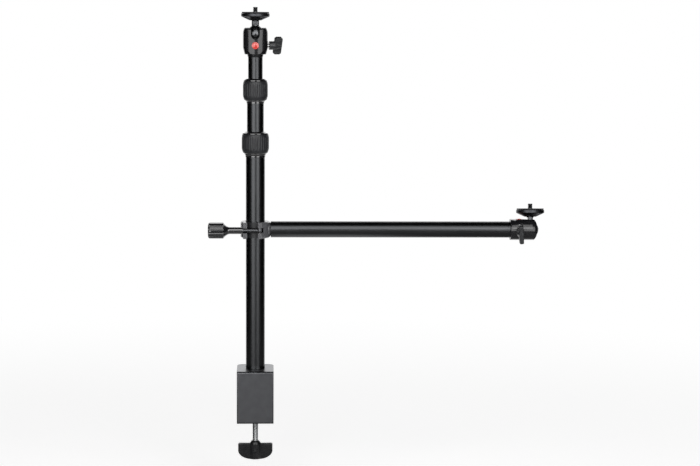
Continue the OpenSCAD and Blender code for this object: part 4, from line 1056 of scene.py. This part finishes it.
eye_profile = rounded([(EYE_BORE_R, -EYE_HALF, 0.3), (EYE_R, -EYE_HALF, 0.7),
                       (EYE_R, EYE_HALF, 0.7), (EYE_BORE_R, EYE_HALF, 0.3)])
swing_bolt = piece("swing_bolt_eye", lathe(eye_profile, 64), black_steel_finish, "eye_bolt",
                   ["swing_bolt"], EYE_PLACE)
plain = [(M6_R, SHANK_FOOT)] + [(M6_R, 2.0 * k) for k in range(-9, 1)] + [(M6_R, 1.9)]
shank_profile = ([(0, SHANK_FOOT)] + plain
                 + threaded_rows(M6_R, THREAD_LOW, THREAD_HIGH, M6_PITCH)[::-1]
                 + [(2.6, SHANK_TIP), (0, SHANK_TIP)])
# The thread's rule ends well past the tip, so that the ridge doesn't fade there
shank_thread = thread(M6_PITCH, M6_DEPTH, THREAD_LOW, THREAD_HIGH + 7)
shank = piece("swing_bolt_shank", lathe(shank_profile, 32, shank_thread), black_steel_finish,
              "eye_bolt", [], KNOB_PLACE)
combine(swing_bolt, shank, "UNION")
print("swing bolt", len(swing_bolt.data.vertices), "vertices")

# %% [markdown]
# ### The wing knob and the lock knobs
#
# Both are flat handles that fingers push on the side, so both come from one rule: a front view
# given by an upper and a lower edge, a thickness that may change over it, and a round-over toward
# the outline. A box with a bevel would give the same view from the front, but the thumb scoops of
# the wing and the sloping shoulders of the small knobs need a thickness that flows.


# %% Handle rule
SHOULDER = 2.6   # the power of the round-over: 2 is a quarter circle, more is squarer
NO_THICKNESS = 1e-6


def spaced(low, high, count):
    """Values from low to high that crowd toward both ends."""
    return [low + (high - low) * (1 - math.cos(math.pi * k / count)) / 2 for k in range(count + 1)]


def handle(half_width, under, over, thick, edge, columns, rows):
    """A flat handle in the XZ plane, mirrored front to back."""
    verts, index = [], {}
    for i, x in enumerate(spaced(-half_width, half_width, columns)):
        for j, z in enumerate(spaced(under(x), over(x), rows)):
            inset = min(half_width - abs(x), z - under(x), over(x) - z)
            share = min(1.0, max(0.0, inset / edge))
            half = thick(x, z) * (1 - (1 - share) ** SHOULDER) ** (1 / SHOULDER)
            for face in (-1, 1):
                if half > NO_THICKNESS or face == -1:
                    index[i, j, face] = len(verts)
                    verts.append((x, face * half, z))
                else:
                    index[i, j, face] = index[i, j, -1]
    faces = []
    for i in range(columns):
        for j in range(rows):
            for face in (-1, 1):
                around = [index[at + (face,)] for at in
                          ((i, j), (i + 1, j), (i + 1, j + 1), (i, j + 1))]
                kept = list(dict.fromkeys(around))
                if len(kept) > 2:
                    faces.append(kept if face < 0 else kept[::-1])
    return verts, faces


def eased(value, low, high):
    """0 at low, 1 at high, smooth between."""
    t = min(1.0, max(0.0, (value - low) / (high - low)))
    return t * t * (3 - 2 * t)


def softest(a, b, width):
    """The larger of two values, with a small fillet where they meet."""
    h = max(width - abs(a - b), 0.0) / width
    return max(a, b) + h * h * width / 4


halfway = (1 - 0.5 ** SHOULDER) ** (1 / SHOULDER)
print("share of the thickness halfway through a round-over", round(halfway, 2))

# %% [markdown]
# The wing is a half moon, thick at both tips and scooped between tip and hub, with a short cone on
# top where the screw goes in. The screw's bore ends inside it, and the hole of the cross pin goes
# right through. The cone, the bore and the hole are turned shapes, so they are joined on and cut
# out.

# %% Wing knob
WING_HALF, WING_FLAT, WING_SIDE, WING_EDGE = 23.0, 5.5, 9.5, 1.5
WING_TOP, WING_LOW = -95.4, -117.4
TIP_DROP, TIP_RUN = 1.2, 1.6
WING_THICK, SCOOP_DEPTH, SCOOP_AT = 4.75, 2.25, 11.5   # half thickness at the tips, and the scoops
WING_HUB_R, WING_FILLET = 7.2, 1.2
CONE_FOOT_R, CONE_TOP_R = 7.1, 5.0
CONE_FOOT, CONE_WAIST, CONE_TOP = -96.6, -95.2, -92.0
PIN_R, PIN_HALF = 1.27, 20.0
PIN_PLACE = SCREW_AXIS @ shift(0, 0, -103.4) @ turn("X", 90)


def wing_under(x):
    """The half-moon's lower edge: flat in the middle, then an arc up to the short upright sides."""
    across = max(0.0, (abs(x) - WING_FLAT) / (WING_HALF - WING_FLAT))
    arc = math.sqrt(max(0.0, 1 - across ** 2))
    return WING_TOP - WING_SIDE - (WING_TOP - WING_LOW - WING_SIDE) * arc


def wing_over(x):
    """The upper edge: level, and a little lower at both tips."""
    return WING_TOP - TIP_DROP * eased(abs(x), WING_HALF - TIP_RUN, WING_HALF)


def wing_half_thickness(x, z):
    """Thick at both tips, scooped for the fingers between tip and hub."""
    scoop = WING_THICK - SCOOP_DEPTH * (1 - ((abs(x) - SCOOP_AT) / SCOOP_AT) ** 2)
    hub = math.sqrt(max(0.0, WING_HUB_R ** 2 - x ** 2))
    return softest(scoop, hub, WING_FILLET)


wing_shape = handle(WING_HALF, wing_under, wing_over, wing_half_thickness, WING_EDGE, 120, 36)
wing = piece("wing_knob_scooped", wing_shape, wing_finish, "screw_and_knob",
             ["wing_knob"], SCREW_AXIS, sharp=50)
cone_profile = rounded([(0, CONE_FOOT, 0), (CONE_FOOT_R, CONE_FOOT, 0),
                        (CONE_FOOT_R, CONE_WAIST, 0), (CONE_TOP_R, CONE_TOP, 0.8),
                        (0, CONE_TOP, 0)])
bore_r, well_above = M8_R + CLEARANCE, CONE_TOP + 12
bore_profile = [(0, well_above), (bore_r, well_above), (bore_r, SCREW_END), (0, SCREW_END)]
pin_profile = [(0, -PIN_HALF), (PIN_R, -PIN_HALF), (PIN_R, PIN_HALF), (0, PIN_HALF)]
for name, profile, sides, place, how in (
        ("wing_cone", cone_profile, 64, SCREW_AXIS, "UNION"),
        ("wing_bore", bore_profile, 48, SCREW_AXIS, "DIFFERENCE"),
        ("wing_pin_hole", pin_profile, 32, PIN_PLACE, "DIFFERENCE")):
    combine(wing, piece(name, lathe(profile, sides), wing_finish, "screw_and_knob",
                        [], place), how)
print("wing knob", len(wing.data.vertices), "vertices")

# %% [markdown]
# The lock knobs are small flat bars on a conical hub, with three shallow lines near each end for
# the fingertips. They come from the same rule with other edges and another thickness. Each one is
# placed by the head that it locks, turned a little back and then by its own angle round the locking
# screw.

# %% Lock knobs
BAR_HALF, BAR_LOW, BAR_HIGH, BAR_THICK, BAR_EDGE = 12.75, 24.3, 35.3, 2.7, 1.1
END_ROUND, END_RUN = 2.2, 2.4
HUB_FOOT_R, HUB_TOP_R, HUB_RISE, HUB_FILLET = 5.7, 3.3, 9.0, 0.8
LINES_AT, LINE_WIDTH, LINE_DEPTH = (8.4, 9.9, 11.4), 0.22, 0.2
HUB_LOW, HUB_HIGH = 18.3, 25.0
LEVER_BORE_R, LEVER_BORE_LOW, LEVER_BORE_HIGH = 2.0 + CLEARANCE, 10.0, 29.84
SCREW_UP, LOCK_BACK = 11.5, 12


def bar_under(x):
    """The lower edge: straight, and rising to round both ends."""
    return BAR_LOW + END_ROUND * eased(abs(x), BAR_HALF - END_RUN, BAR_HALF)


def bar_over(x):
    """The upper edge: straight, and falling to round both ends."""
    return BAR_HIGH - END_ROUND * eased(abs(x), BAR_HALF - END_RUN, BAR_HALF)


def bar_half_thickness(x, z):
    """An even bar whose hub runs up it as a cone, with three shallow grip lines near each end."""
    cone_r = HUB_FOOT_R + (HUB_TOP_R - HUB_FOOT_R) * min(1.0, (z - BAR_LOW) / HUB_RISE)
    hub = math.sqrt(max(0.0, cone_r ** 2 - x ** 2))
    lines = sum(math.exp(-((abs(x) - at) / LINE_WIDTH) ** 2) for at in LINES_AT)
    return softest(BAR_THICK - LINE_DEPTH * lines, hub, HUB_FILLET)


bar_shape = handle(BAR_HALF, bar_under, bar_over, bar_half_thickness, BAR_EDGE, 96, 24)
lever_hub = rounded([(0, HUB_LOW, 0), (HUB_FOOT_R, HUB_LOW, 0.5),
                     (HUB_FOOT_R, HUB_HIGH, 0), (0, HUB_HIGH, 0)])
lever_bore = [(0, LEVER_BORE_LOW), (LEVER_BORE_R, LEVER_BORE_LOW),
              (LEVER_BORE_R, LEVER_BORE_HIGH), (0, LEVER_BORE_HIGH)]
for side, head, tilt in (("top", TOP_HEAD, 32), ("arm", ARM_HEAD, 94)):
    place = head @ shift(0, 0, SCREW_UP) @ turn("Z", LOCK_BACK) @ turn("X", tilt) @ turn("Y", 90)
    body = side + "_lever"
    bar = piece(side + "_lock_knob_bar", bar_shape, satin_finish, body,
                [side + "_lock_knob"], place, sharp=50)
    for name, profile, sides, how in (("_lock_hub", lever_hub, 48, "UNION"),
                                      ("_lock_bore", lever_bore, 32, "DIFFERENCE")):
        combine(bar, piece(side + name, lathe(profile, sides), satin_finish, body,
                           [], place), how)
    print(bar.name, len(bar.data.vertices), "vertices")
